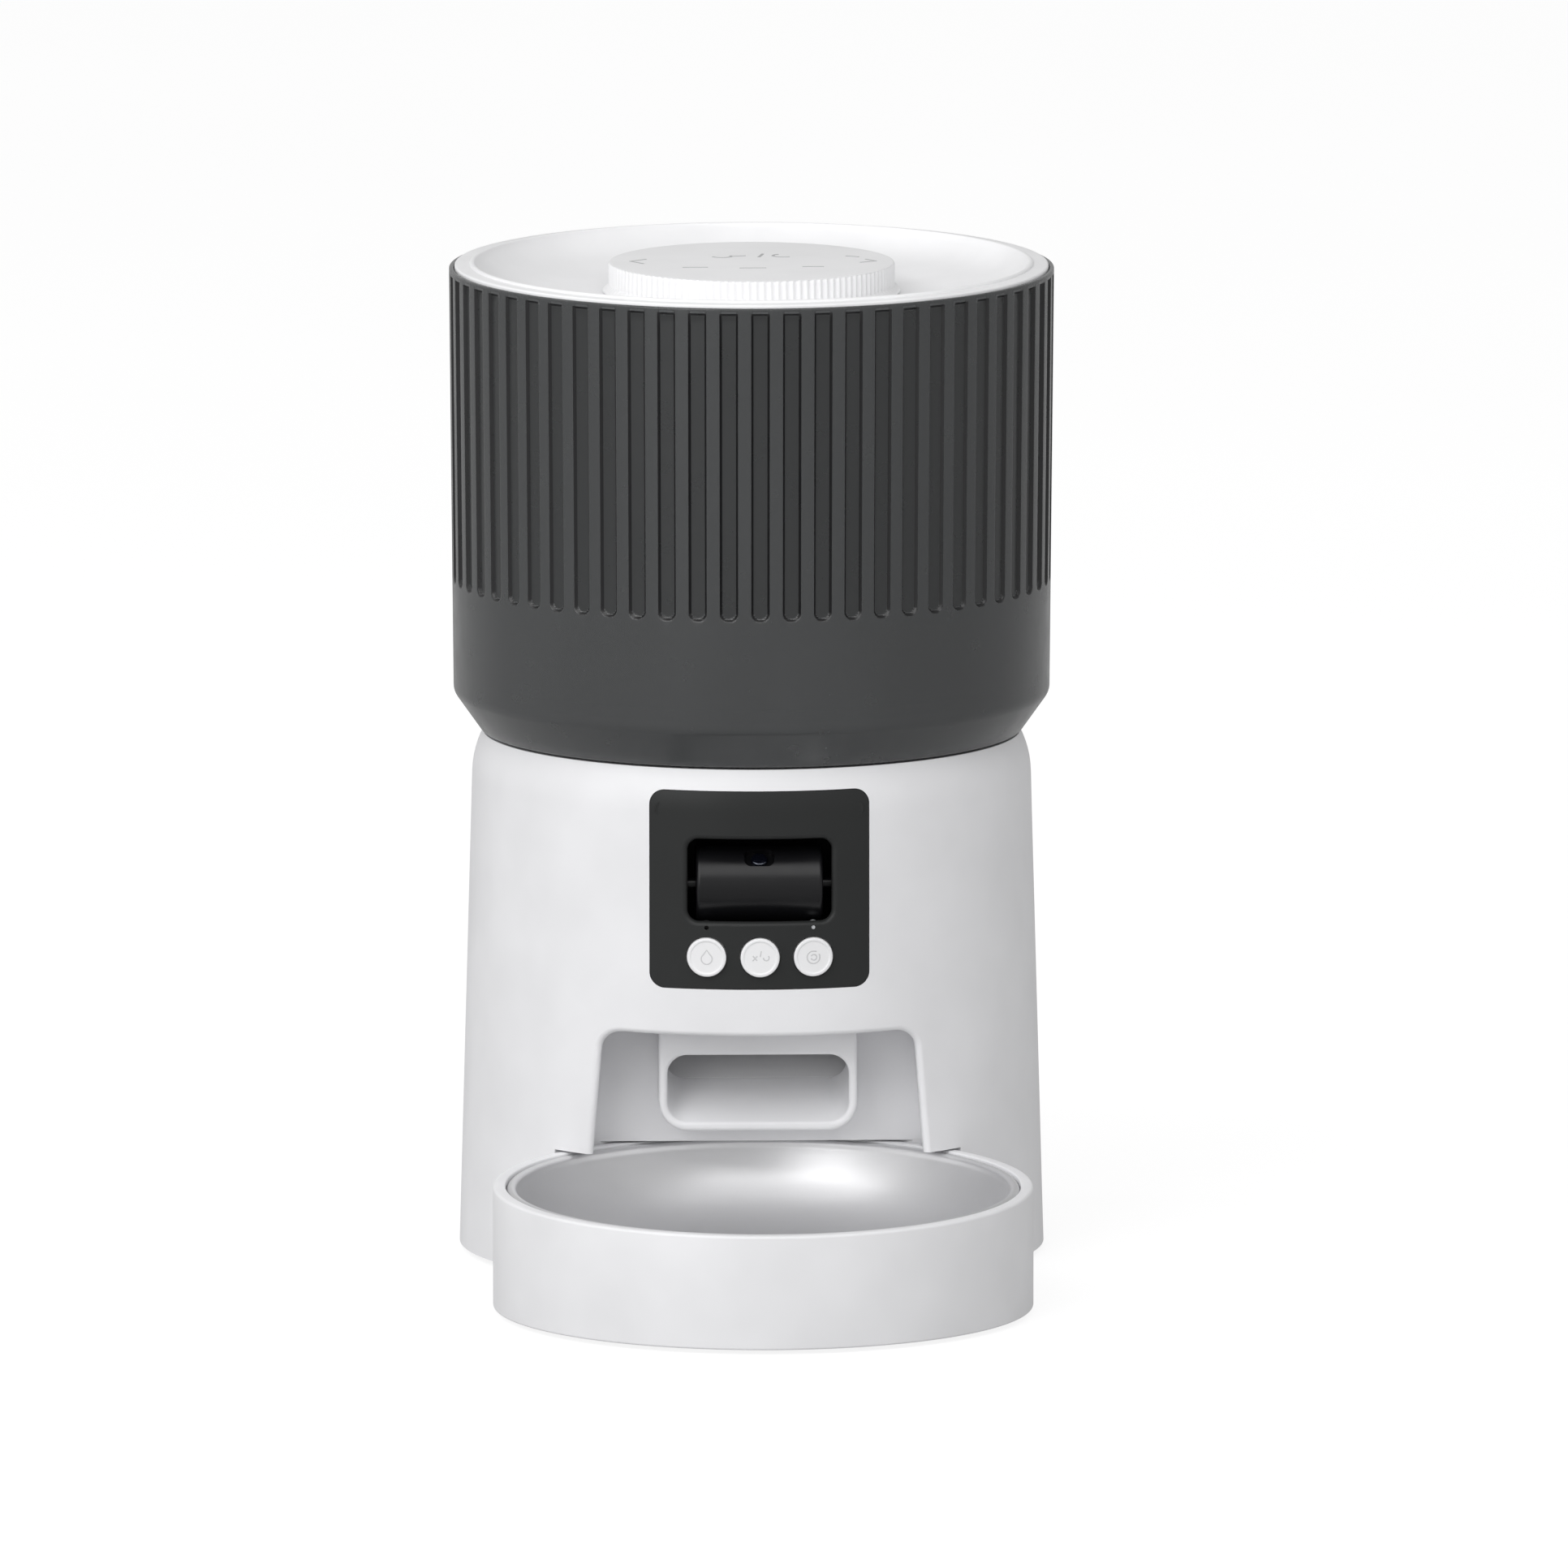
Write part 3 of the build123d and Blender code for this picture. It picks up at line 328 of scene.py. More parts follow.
class Finish(Enum):
    """The named finishes of the feeder; each value says how to make it."""

    BODY = MouldedPlastic("satin_white", (0.78, 0.78, 0.795), 0.42)
    LID = MouldedPlastic("lid_white", (0.85, 0.85, 0.86), 0.30, grain_depth_mm=0.003, coat=0.15)
    MARKS = MouldedPlastic("pale_grey_marks", (0.42, 0.42, 0.43), 0.5)
    SMOKE = SmokedPlastic("smoked_plastic", (0.118, 0.123, 0.126), 0.24, 0.62)
    # Painted shade: darker copies of the smoked plastic, for the hopper's groove slopes and groove
    # floors.
    SMOKE_EDGE = SmokedPlastic("smoked_plastic_painted_slope_shade", (0.010, 0.010, 0.011), 0.3, 0.3)
    SMOKE_DEEP = SmokedPlastic("smoked_plastic_painted_groove_shade", (0.062, 0.065, 0.067), 0.3, 0.6)
    PANEL = MouldedPlastic("charcoal", (0.022, 0.023, 0.023), 0.38, grain_depth_mm=0.008, shine=0.2)
    BARREL = MouldedPlastic("barrel_black", (0.006, 0.006, 0.007), 0.3, grain_depth_mm=0.002,
                            shine=0.3)
    # Painted shade: the chute is the body's white plastic, darkened for the shade inside the mouth.
    CHUTE = MouldedPlastic("chute_white_painted_shade", (0.62, 0.62, 0.63), 0.45)
    BAY = MouldedPlastic("bay_black", (0.004, 0.004, 0.004), 0.5, grain_depth_mm=0.004, shine=0.1)
    BUTTON = MouldedPlastic("button_white", (0.82, 0.82, 0.83), 0.35, grain_depth_mm=0.003)
    ICON = MouldedPlastic("button_icon_grey", (0.60, 0.60, 0.61), 0.45)
    INNER = MouldedPlastic("inner_grey", (0.42, 0.43, 0.44), 0.55)
    FLOOR = MouldedPlastic("funnel_charcoal", (0.045, 0.047, 0.048), 0.5)
    STEEL = SatinMetal("bowl_steel", (0.92, 0.92, 0.925), 0.16, grain_mm=0.6)
    ACETAL = MouldedPlastic("natural_acetal", (0.78, 0.75, 0.66), 0.4, coat=0.2)
    MOTOR = SatinMetal("motor_can", (0.50, 0.51, 0.53), 0.35, stretch=(1, 1, 0.1))
    SCREW = SatinMetal("zinc_plate", (0.62, 0.62, 0.64), 0.3)
    BRONZE = SatinMetal("sintered_bronze", (0.55, 0.36, 0.18), 0.5, grain_mm=0.25)
    RUBBER = SoftRubber("foot_rubber", (0.06, 0.06, 0.06))
    SEAL = SoftRubber("seal_silicone", (0.62, 0.62, 0.63), 0.5)
    FLAP = SoftRubber("flap_silicone", (0.25, 0.25, 0.26), 0.55)
    BOARD = CircuitBoard("circuit_board")
    CHIP = MouldedPlastic("component_black", (0.02, 0.02, 0.021), 0.45, grain_mm=0.2)
    CELL = SatinMetal("cell_jacket", (0.16, 0.18, 0.22), 0.35, stretch=(1, 0.1, 1))
    NICKEL = SatinMetal("contact_nickel", (0.66, 0.64, 0.58), 0.25)
    LENS = ClearPart("coated_lens", (0.012, 0.012, 0.016))
    PIPE = ClearPart("light_pipe", (0.75, 0.78, 0.8), 0.1)
    INLET = MouldedPlastic("inlet_black", (0.015, 0.015, 0.016), 0.3)
    PAPER = PaperSachet("desiccant_paper", (0.85, 0.85, 0.82))

    def material(self) -> bpy.types.Material:
        """Give the finish's material, made once."""
        return bpy.data.materials.get(self.value.name) or self.value.make()


def dress(finish: Finish, *nodes: str) -> None:
    """Put a finish on CAD nodes.

    Args:
        finish: the finish.
        nodes: names of CAD nodes.
    """
    for node in nodes:
        piece = frame["nodes"][node]
        if not piece.material_slots:
            piece.data.materials.append(finish.material())
        for slot in piece.material_slots:
            slot.material = finish.material()
        log.info("dressed %s in %s", node, finish.value.name)


# ------------------------------------------------------------------ shaping helpers

def rounded(corners: Sequence[tuple[float, float, float]], arc_points: int = 5,
            closed: bool = True) -> list[Point]:
    """Round the corners of an outline.

    Args:
        corners: (radius, height, corner radius) for each corner, in millimetres.
        arc_points: how many points each round corner gets.
        closed: False if the outline starts and ends on the axis.

    Returns:
        The outline's points.
    """
    outline: list[Point] = []
    count = len(corners)
    for index, (r, z, radius) in enumerate(corners):
        at_end = not closed and index in (0, count - 1)
        if radius <= 0 or at_end:
            outline.append((r, z))
            continue
        here = Vector((r, z))
        before = (Vector(corners[index - 1][:2]) - here).normalized()
        after = (Vector(corners[(index + 1) % count][:2]) - here).normalized()
        half = before.angle(after) / 2
        reach = radius / tan(half)
        centre = here + (before + after).normalized() * (radius / sin(half))
        start, end = here + before * reach - centre, here + after * reach - centre
        sweep = start.angle_signed(end)
        for step in range(arc_points):
            spoke = start.copy()
            spoke.rotate(Matrix.Rotation(-sweep * step / (arc_points - 1), 2))
            outline.append(tuple(centre + spoke))
    return outline


def between(first: Point, last: Point, pieces: int) -> list[Point]:
    """Points strictly between two others, evenly spaced."""
    return [(first[0] + (last[0] - first[0]) * step / pieces,
             first[1] + (last[1] - first[1]) * step / pieces) for step in range(1, pieces)]


def spun(outline: Sequence[Point], centre: Vector, steps: int,
         closed: bool = True) -> bmesh.types.BMesh:
    """Spin an outline about an upright axis.

    Args:
        outline: (radius, height) points in millimetres.
        centre: a point on the axis, in metres.
        steps: how many facets go round.
        closed: False if the outline starts and ends on the axis.

    Returns:
        The closed surface, with its faces pointing outwards.
    """
    shape = bmesh.new()
    way = Vector((cos(radians(FRONT_BEARING)), sin(radians(FRONT_BEARING)), 0))
    foot = Vector((centre.x, centre.y, 0))
    corners = [shape.verts.new(foot + way * (r * MM) + Vector((0, 0, z * MM)))
               for r, z in outline]
    pairs = list(zip(corners, corners[1:]))
    if closed:
        pairs.append((corners[-1], corners[0]))
    edges = [shape.edges.new(pair) for pair in pairs]
    bmesh.ops.spin(shape, geom=corners + edges, cent=foot, axis=(0, 0, 1), angle=2 * pi,
                   steps=steps, use_merge=True)
    bmesh.ops.remove_doubles(shape, verts=shape.verts, dist=1e-6)
    bmesh.ops.dissolve_degenerate(shape, edges=shape.edges, dist=1e-7)
    bmesh.ops.recalc_face_normals(shape, faces=shape.faces)
    return shape


def settle(shape: bmesh.types.BMesh, name: str, finish: Finish, body: str,
           stands_for: Iterable[str] = (), sharp: float = 40.0) -> bpy.types.Object:
    """Turn a finished shape into a piece that rides on its body.

    Args:
        shape: the bmesh, which is used up.
        name: the piece's name.
        finish: what it is made of.
        body: the CAD body that it moves with.
        stands_for: CAD nodes that it replaces.
        sharp: edges that turn by more than this many degrees stay crisp.

    Returns:
        The new object.
    """
    mesh = bpy.data.meshes.new(name)
    shape.to_mesh(mesh)
    shape.free()
    mesh.shade_smooth()
    mesh.set_sharp_from_angle(angle=radians(sharp))
    mesh.materials.append(finish.material())
    piece = bpy.data.objects.new(name, mesh)
    bpy.context.scene.collection.objects.link(piece)
    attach(piece, body)
    if stands_for:
        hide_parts(*stands_for)
    log.info("built %s: %d faces", name, len(mesh.polygons))
    return piece


def soft_block(shape: bmesh.types.BMesh, centre: Vector, size: Triple, edge: float,
               segments: int) -> None:
    """Add a block with softened edges.

    Args:
        shape: the bmesh to add to.
        centre: the block's middle, in metres.
        size: its length along x, y and z, in metres.
        edge: how much of each edge is softened, in millimetres.
        segments: how many faces go round each edge.
    """
    matrix = Matrix.Translation(centre) @ Matrix.Diagonal((*size, 1.0))
    made = bmesh.ops.create_cube(shape, size=1.0, matrix=matrix)
    edges = list({side for vertex in made["verts"] for side in vertex.link_edges})
    bmesh.ops.bevel(shape, geom=edges, offset=edge * MM, affect="EDGES", segments=segments,
                    profile=0.5, material=-1)


def beads(paths: Sequence[tuple[Sequence[Point], bool]], width: float, place: Place,
          height: float) -> bmesh.types.BMesh:
    """Lay thin rounded strokes on a surface.

    Args:
        paths: each stroke's (u, v) points in millimetres, and whether it is a closed ring.
        width: the stroke's width.
        place: maps (u, v, rise) in millimetres to a point in metres.
        height: how far the stroke's crown stands above the surface it is laid on.

    Returns:
        All strokes in one bmesh.
    """
    shape = bmesh.new()
    for points, ring in paths:
        curve = bpy.data.curves.new("stroke", "CURVE")
        curve.dimensions = "3D"
        curve.bevel_depth = width / 2
        curve.bevel_resolution = 2
        curve.use_fill_caps = True
        spline = curve.splines.new("POLY")
        spline.points.add(len(points) - 1)
        for target, (u, v) in zip(spline.points, points):
            target.co = (u, v, 0.0, 1.0)
        spline.use_cyclic_u = ring
        holder = bpy.data.objects.new("stroke", curve)
        mesh = bpy.data.meshes.new_from_object(holder)
        shape.from_mesh(mesh)
        bpy.data.objects.remove(holder)
        bpy.data.curves.remove(curve)
        bpy.data.meshes.remove(mesh)
    bmesh.ops.remove_doubles(shape, verts=shape.verts, dist=1e-4)
    for vertex in shape.verts:
        u, v, rise = vertex.co
        vertex.co = place(u, v, rise * 2 * height / width)
    bmesh.ops.recalc_face_normals(shape, faces=shape.faces)
    return shape


def arc(centre: Point, radius: float, start: float, end: float, points: int = 12) -> list[Point]:
    """Points along an arc, between two bearings in degrees."""
    return [(centre[0] + radius * cos(radians(start + (end - start) * step / (points - 1))),
             centre[1] + radius * sin(radians(start + (end - start) * step / (points - 1))))
            for step in range(points)]


def smooth_step(value: float) -> float:
    """Ease from 0 to 1."""
    held = max(0.0, min(1.0, value))
    return held * held * (3 - 2 * held)


# ------------------------------------------------------------------ sub-assemblies

@dataclass
class Tower:
    """The white shell with its front panel, camera bay, base and inner works, all from CAD."""

    finishes: dict[Finish, tuple[str, ...]] = field(default_factory=lambda: {
        Finish.BODY: ("body_shell", "base_plate", "battery_door"),
        # the chute's darker white is painted shade
        Finish.CHUTE: ("outlet_chute",),
        Finish.PANEL: ("front_panel",),
        Finish.BARREL: ("camera_barrel",),
        Finish.BAY: ("camera_bay",),
        Finish.LENS: ("camera_lens",),
        Finish.PIPE: ("status_light",),
        Finish.INNER: ("metering_cup", "portion_wheel", "gearbox_case", "gearbox_cover",
                       "battery_box"),
        Finish.ACETAL: ("output_gear", "second_gear", "first_gear"),
        Finish.BRONZE: ("motor_pinion", "shaft_bush"),
        Finish.MOTOR: ("gear_motor",),
        Finish.SCREW: ("panel_screws", "cup_screws", "gearbox_screws", "base_screws",
                       "gear_pins"),
        Finish.BOARD: ("button_board", "main_board"),
        Finish.CHIP: ("tact_switches", "microphone", "board_parts", "speaker"),
        Finish.CELL: ("batteries",),
        Finish.NICKEL: ("battery_contacts",),
        Finish.RUBBER: ("rubber_feet",),
        Finish.INLET: ("power_inlet",),
    })

    def build(self) -> None:
        """Dress every CAD node of the tower."""
        for finish, nodes in self.finishes.items():
            dress(finish, *nodes)


@dataclass
class PushButtons:
    """Three round buttons with a raised rim, a shallow dish and a faint icon."""

    radius: float = 6.1
    rim: float = 0.9
    dish: float = 0.22
    depth: float = 3.4
    flange_reach: float = 0.75      # how far the hidden flange stands out behind the panel
    flange_thickness: float = 0.9
    tower_radius: float = 90.6      # the buttons' faces lie on this cylinder about the tower
    icon_width: float = 0.42
    icon_height: float = 0.1

    def build(self) -> None:
        """Build the buttons and their icons."""
        for name in ("button_left", "button_middle", "button_right"):
            low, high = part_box(name)
            centre = (low + high) / 2
            self.cap(name, centre)
            self.icon(name, centre)

    def seat(self, centre: Vector) -> Place:
        """Map a button's own (x, z, rise) to the curved front of the tower."""
        def place(u: float, v: float, rise: float) -> Vector:
            x = centre.x / MM + u
            front = sqrt(self.tower_radius ** 2 - x * x) + rise
            return Vector((x * MM, TOWER.y - front * MM, centre.z + v * MM))
        return place

    def cap(self, name: str, centre: Vector) -> None:
        """Build one button's cap as a spun disc laid on the tower's curve."""
        r, rim = self.radius, self.rim
        flange, back = r + self.flange_reach, -self.depth - self.flange_thickness
        outline = [(0.0, -self.dish)]
        outline += between((0.0, -self.dish), (r - rim - 1.0, -self.dish), 5)
        outline += rounded([(r - rim - 1.0, -self.dish, 0), (r - rim - 0.3, -self.dish, 0.6),
                            (r - rim, 0.0, 0.25), (r, 0.0, 0.45), (r, -self.depth, 0),
                            (flange, -self.depth, 0), (flange, back, 0), (0.0, back, 0)],
                           closed=False)
        cap = spun(outline, Vector((0, 0, 0)), 96, closed=False)
        place = self.seat(centre)
        for vertex in cap.verts:
            x, y, rise = vertex.co / MM
            vertex.co = place(x, y, rise)
        bmesh.ops.recalc_face_normals(cap, faces=cap.faces)
        settle(cap, f"{name}_cap", Finish.BUTTON, name, (name,), sharp=50)

    def icon(self, name: str, centre: Vector) -> None:
        """Lay a plain generic icon in a button's dish: a drop, a spark or a ring."""
        drop = arc((0.0, -0.4), 1.7, -230, 50, 18) + [(0.0, 2.4)]
        swirl = arc((0.0, 0.0), 2.0, 60, 390, 20)
        icons = {
            "button_left": [(drop, True)],
            "button_middle": [([(-2.4, -0.9), (-0.9, 0.6)], False),
                              ([(-2.3, 0.7), (-1.0, -0.8)], False),
                              ([(0.0, 0.4), (0.35, 2.2)], False),
                              (arc((1.9, 0.1), 0.9, 180, 400, 10), False)],
            "button_right": [(swirl, False), (arc((0.1, 0.0), 0.9, 200, 520, 14), False)],
        }
        seat = self.seat(centre)

        def sunk(u: float, v: float, rise: float) -> Vector:
            """Sink the strokes to the dish's floor."""
            return seat(u, v, rise - self.dish)

        strokes = beads(icons[name], self.icon_width, sunk, self.icon_height)
        settle(strokes, f"{name}_icon", Finish.ICON, name)


@dataclass
class Hopper:
    """The smoked food hopper: a thin wall with upright grooves over a plain chamfered foot."""

    foot_radius: float = 84.9
    foot_z: float = 165.2
    knee_radius: float = 93.7
    knee_z: float = 177.6
    top_radius: float = 95.0
    top_z: float = 311.5
    wall: float = 2.4
    seat_radius: float = 93.6
    seat_z: float = 308.5
    grooves: int = 60
    groove_half: float = 2.55
    groove_depth: float = 1.0
    groove_foot_z: float = 212.8
    groove_top_z: float = 309.6
    edge: float = 0.45              # half the width of a groove's rounded shoulder
    inner_edge: float = 60.0        # the foot's flange ends here, round the throat
    catch_radius: float = 90.4
    catch_reach: float = 3.6
    catch_width: float = 20.0
    catch_bars: tuple[Point, ...] = ((287.0, 292.4), (296.6, 297.4))
    post_offset: float = 8.8
    post_width: float = 2.4
    columns: tuple[float, ...] = (0.0, 1.2, 1.85, 2.2, 2.55, 2.9, 3.3, 4.0, 4.97)

    def build(self) -> None:
        """Build the wall and its lid catches, and dress the inner pieces."""
        wall = spun(self.outline(), TOWER, self.grooves * self.columns_round())
        self.groove(wall)
        piece = settle(wall, "hopper_wall", Finish.SMOKE, "hopper", ("hopper",),
                       45)
        # Slots 1 and 2 carry painted shade for the groove slopes and the groove floors.
        piece.data.materials.append(Finish.SMOKE_EDGE.material())
        piece.data.materials.append(Finish.SMOKE_DEEP.material())
        self.catches()
        dress(Finish.FLOOR, "hopper_floor")
        dress(Finish.FLAP, "wiper_flaps")

    def columns_round(self) -> int:
        """How many columns of faces each groove and its ridge have."""
        return 2 * (len(self.columns) - 1)

    def outline(self) -> list[Point]:
        """The wall's closed section, with close rows where the grooves end."""
        lean = (self.top_radius - self.knee_radius) / (self.top_z - self.knee_z)

        def outer(z: float) -> Point:
            """A point on the leaning outside."""
            return (self.knee_radius + lean * (z - self.knee_z), z)

        foot_top = self.groove_foot_z + self.groove_half
        plain_top = self.groove_foot_z - 10
        rows = [self.groove_foot_z - 6, self.groove_foot_z - 0.5]
        rows += [self.groove_foot_z - 0.3 + 0.28 * step for step in range(11)]
        rows += [foot_top + 3 + 22 * step for step in range(5)]
        rows += [self.groove_top_z - 0.5, self.groove_top_z - 0.1, self.groove_top_z + 0.3]
        corner = rounded([
            (self.inner_edge, self.foot_z, 0), (self.foot_radius, self.foot_z, 1.6),
            (self.knee_radius, self.knee_z, 5.0), (*outer(plain_top), 0),
            (*outer(self.top_z), 0.5), (self.seat_radius, self.top_z, 0.25),
            (self.seat_radius, self.seat_z, 0), (self.top_radius - self.wall, self.seat_z, 0.3),
            (self.knee_radius - self.wall, self.knee_z + 1.0, 5.0),
            (self.foot_radius - 1.6, self.foot_z + self.wall, 0),
            (self.inner_edge, self.foot_z + self.wall, 0),
        ], arc_points=6)
        split = next(i for i, p in enumerate(corner) if p[1] >= plain_top - 0.01)
        return corner[:split + 1] + [outer(z) for z in rows] + corner[split + 1:]

    def groove(self, wall: bmesh.types.BMesh) -> None:
        """Gather the columns at the grooves' shoulders, press the grooves in, and mark the slopes
        and the groove floors with darker materials as painted shade.
        """
        pressed = wall.verts.layers.float.new("pressed")
        per_groove = self.columns_round()
        half_count = len(self.columns) - 1
        pitch = 360 / self.grooves
        for vertex in wall.verts:
            x, y = vertex.co.x - TOWER.x, vertex.co.y - TOWER.y
            radius, z = hypot(x, y) / MM, vertex.co.z / MM
            turn = (degrees(atan2(y, x)) + 90) % 360
            index = round(turn / pitch * per_groove) % (self.grooves * per_groove)
            sector, column = divmod(index, per_groove)
            if column <= half_count:
                offset = self.columns[column]
            else:
                offset = -self.columns[per_groove - column]
                sector += 1
            bearing = radians(sector * pitch - 90) + offset / self.top_radius
            inside = radius < self.knee_radius - 0.6 or z > self.top_z - 0.05
            below = z < self.groove_foot_z - 1
            if not (inside and radius < self.seat_radius + 0.1) and not below:
                foot = min(0.0, z - self.groove_foot_z - self.groove_half)
                away = max(hypot(offset, foot) - self.groove_half, z - self.groove_top_z)
                share = 1 - smooth_step((away + self.edge) / self.edge / 2)
                radius -= self.groove_depth * share
                vertex[pressed] = share
            vertex.co.x = TOWER.x + radius * MM * cos(bearing)
            vertex.co.y = TOWER.y + radius * MM * sin(bearing)
        # Painted shade: slopes take the darkest smoked plastic, and groove floors a darker one.
        for face in wall.faces:
            shares = [vertex[pressed] for vertex in face.verts]
            on_slope = max(shares) - min(shares) > 0.25
            on_floor = min(shares) > 0.9
            face.material_index = 1 if on_slope else 2 if on_floor else 0
        bmesh.ops.recalc_face_normals(wall, faces=wall.faces)

    def catches(self) -> None:
        """Build the two catches that hold the latch bolts, as small slotted blocks."""
        catches = bmesh.new()
        (_, shelf_top), (roof_low, _) = self.catch_bars
        for side in (-1, 1):
            for low, high in self.catch_bars:
                self.bar(catches, side, 0.0, self.catch_width, low, high)
            for y in (-self.post_offset, self.post_offset):
                self.bar(catches, side, y, self.post_width, shelf_top, roof_low)
        bmesh.ops.remove_doubles(catches, verts=catches.verts, dist=1e-6)
        settle(catches, "hopper_catches", Finish.SMOKE, "hopper")

    def bar(self, shape: bmesh.types.BMesh, side: int, y: float, width: float, low: float,
            high: float) -> None:
        """Add one bar of a catch.

        Args:
            shape: the bmesh to add to.
            side: -1 for the left catch, 1 for the right.
            y: how far behind the tower's axis the bar's middle lies.
            width: its length from front to back.
            low: the height of its underside.
            high: the height of its top.
        """
        centre = Vector((TOWER.x + side * self.catch_radius * MM, TOWER.y + y * MM,
                         (low + high) / 2 * MM))
        soft_block(shape, centre, (self.catch_reach * MM, width * MM, (high - low) * MM), 0.2, 2)


@dataclass
class Lid:
    """The dished white lid, its turning knob with ribs and marks, and the latch below it."""

    rim_radius: float = 93.3
    rim_z: float = 312.5
    bead_outer: float = 88.5
    bead_inner: float = 86.8
    bead_foot: float = 0.1
    bead_height: float = 0.65
    flat_radius: float = 46.0       # the dish's floor is flat out to here
    dish_z: float = 303.2
    skin: float = 2.0
    stem_radius: float = 8.0
    knob_radius: float = 45.0
    skirt_radius: float = 47.0
    knob_foot_z: float = 303.8
    knob_top_z: float = 313.0
    ribs: int = 120
    rib_columns: int = 8
    rib_depth: float = 0.42
    mark_width: float = 1.0
    mark_height: float = 0.12

    def build(self) -> None:
        """Build the lid, the knob and the marks, and dress the latch."""
        lid = spun(self.section(), TOWER, 288)
        settle(lid, "lid_dish", Finish.LID, "lid", ("lid",), 50)
        self.knob()
        self.marks()
        dress(Finish.LID, "latch_housing", "desiccant_cover")
        dress(Finish.SEAL, "lid_seal")
        dress(Finish.ACETAL, "knob_cam", "latch_bolt_left", "latch_bolt_right")
        dress(Finish.SCREW, "lid_screws", "knob_screw")
        dress(Finish.PAPER, "desiccant_pack")

    def dish(self, radius: float) -> float:
        """The height of the dish's upper face at a radius: a flat floor that sweeps up."""
        share = max(0.0, (radius - self.flat_radius) / (self.bead_inner - self.flat_radius))
        rise = self.rim_z + self.bead_foot - self.dish_z
        return self.dish_z + rise * (0.3 * share ** 2 + 0.7 * share ** 6)

    def section(self) -> list[Point]:
        """The lid's closed section."""
        hole = self.stem_radius + 0.08
        floor = [(hole, self.dish_z - self.skin), (hole, self.dish_z)]
        swept = self.bead_inner - self.flat_radius
        sweep = [(radius, self.dish(radius))
                 for radius in (self.flat_radius + swept * step / 24 for step in range(25))]
        bead_mid = (self.bead_outer + self.bead_inner) / 2
        bead_half = (self.bead_outer - self.bead_inner) / 2
        bead = [(bead_mid - bead_half * cos(pi * step / 8),
                 self.rim_z + self.bead_foot + self.bead_height * sin(pi * step / 8))
                for step in range(1, 8)]
        outside = rounded([
            (self.bead_outer, self.rim_z, 0), (self.rim_radius, self.rim_z, 0.7),
            (self.rim_radius, 308.8, 0.2), (91.8, 308.8, 0), (91.8, 298.0, 0.5),
            (89.8, 298.0, 0.5), (89.8, 306.5, 0), (86.5, 306.5, 0),
        ], closed=False)
        under = [(radius, self.dish(radius) - self.skin)
                 for radius in (84.0, 80.0, 74.0, 66.0, 58.0, 48.0)]
        return floor + sweep + bead + outside + under

    def knob(self) -> None:
        """Build the knob: a flat cap, a ribbed side and a flared skirt."""
        r, top = self.knob_radius, self.knob_top_z
        side_low = self.knob_foot_z + 2.2
        outline = rounded([
            (0.0, top, 0), (r - 1.0, top, 0), (r - 0.15, top - 0.05, 0.5), (r, top - 1.2, 0),
            (r, side_low, 0), (self.skirt_radius - 0.5, self.knob_foot_z + 0.8, 0.6),
            (self.skirt_radius, self.knob_foot_z, 0.3), (r - 3, self.knob_foot_z, 0),
            (r - 3, top - 2.6, 0.8), (11.0, top - 2.6, 0.8), (11.0, self.knob_foot_z - 1, 0),
            (self.stem_radius, self.knob_foot_z - 1, 0), (self.stem_radius, 300.3, 0),
            (0.0, 300.3, 0),
        ], arc_points=4, closed=False)
        knob = spun(outline, TOWER, self.ribs * self.rib_columns, closed=False)
        for vertex in knob.verts:
            x, y = vertex.co.x - TOWER.x, vertex.co.y - TOWER.y
            radius, z = hypot(x, y) / MM, vertex.co.z / MM
            if radius > r - 0.4 and side_low - 0.1 < z < top - 0.2:
                scallop = 0.5 - 0.5 * cos(atan2(y, x) * self.ribs)
                share = (radius - self.rib_depth * scallop ** 0.7) / radius
                vertex.co.x, vertex.co.y = TOWER.x + x * share, TOWER.y + y * share
        bmesh.ops.recalc_face_normals(knob, faces=knob.faces)
        settle(knob, "lid_knob_cap", Finish.LID, "knob", ("lid_knob",), 50)

    def marks(self) -> None:
        """Lay the turning arrows, three bars and two small signs on the knob's top."""
        def on_top(u: float, v: float, rise: float) -> Vector:
            """Place a point on the knob's flat top."""
            return Vector((TOWER.x + u * MM, TOWER.y + v * MM, (self.knob_top_z + rise) * MM))

        bars = [([(x - half, v), (x + half, v)], False)
                for x, half, v in ((-18.0, 4.0, -12.5), (0.0, 4.2, -14.5), (19.0, 3.4, -12.0))]
        arrows = [([(-33.0, 6.0), (-38.0, 1.5), (-34.0, -4.0)], False),
                  ([(36.0, 4.0), (39.0, 0.0), (34.0, -3.0)], False),
                  ([(30.0, 11.5), (34.0, 9.5)], False)]
        signs = [(arc((-9.0, 12.0), 3.0, 200, 380), False), ([(-6.0, 11.5), (-1.5, 13.0)], False),
                 ([(2.5, 9.5), (4.0, 17.0)], False), (arc((10.5, 13.0), 3.4, 120, 300), False)]
        strokes = beads(bars + arrows + signs, self.mark_width, on_top, self.mark_height)
        settle(strokes, "knob_marks", Finish.MARKS, "knob")


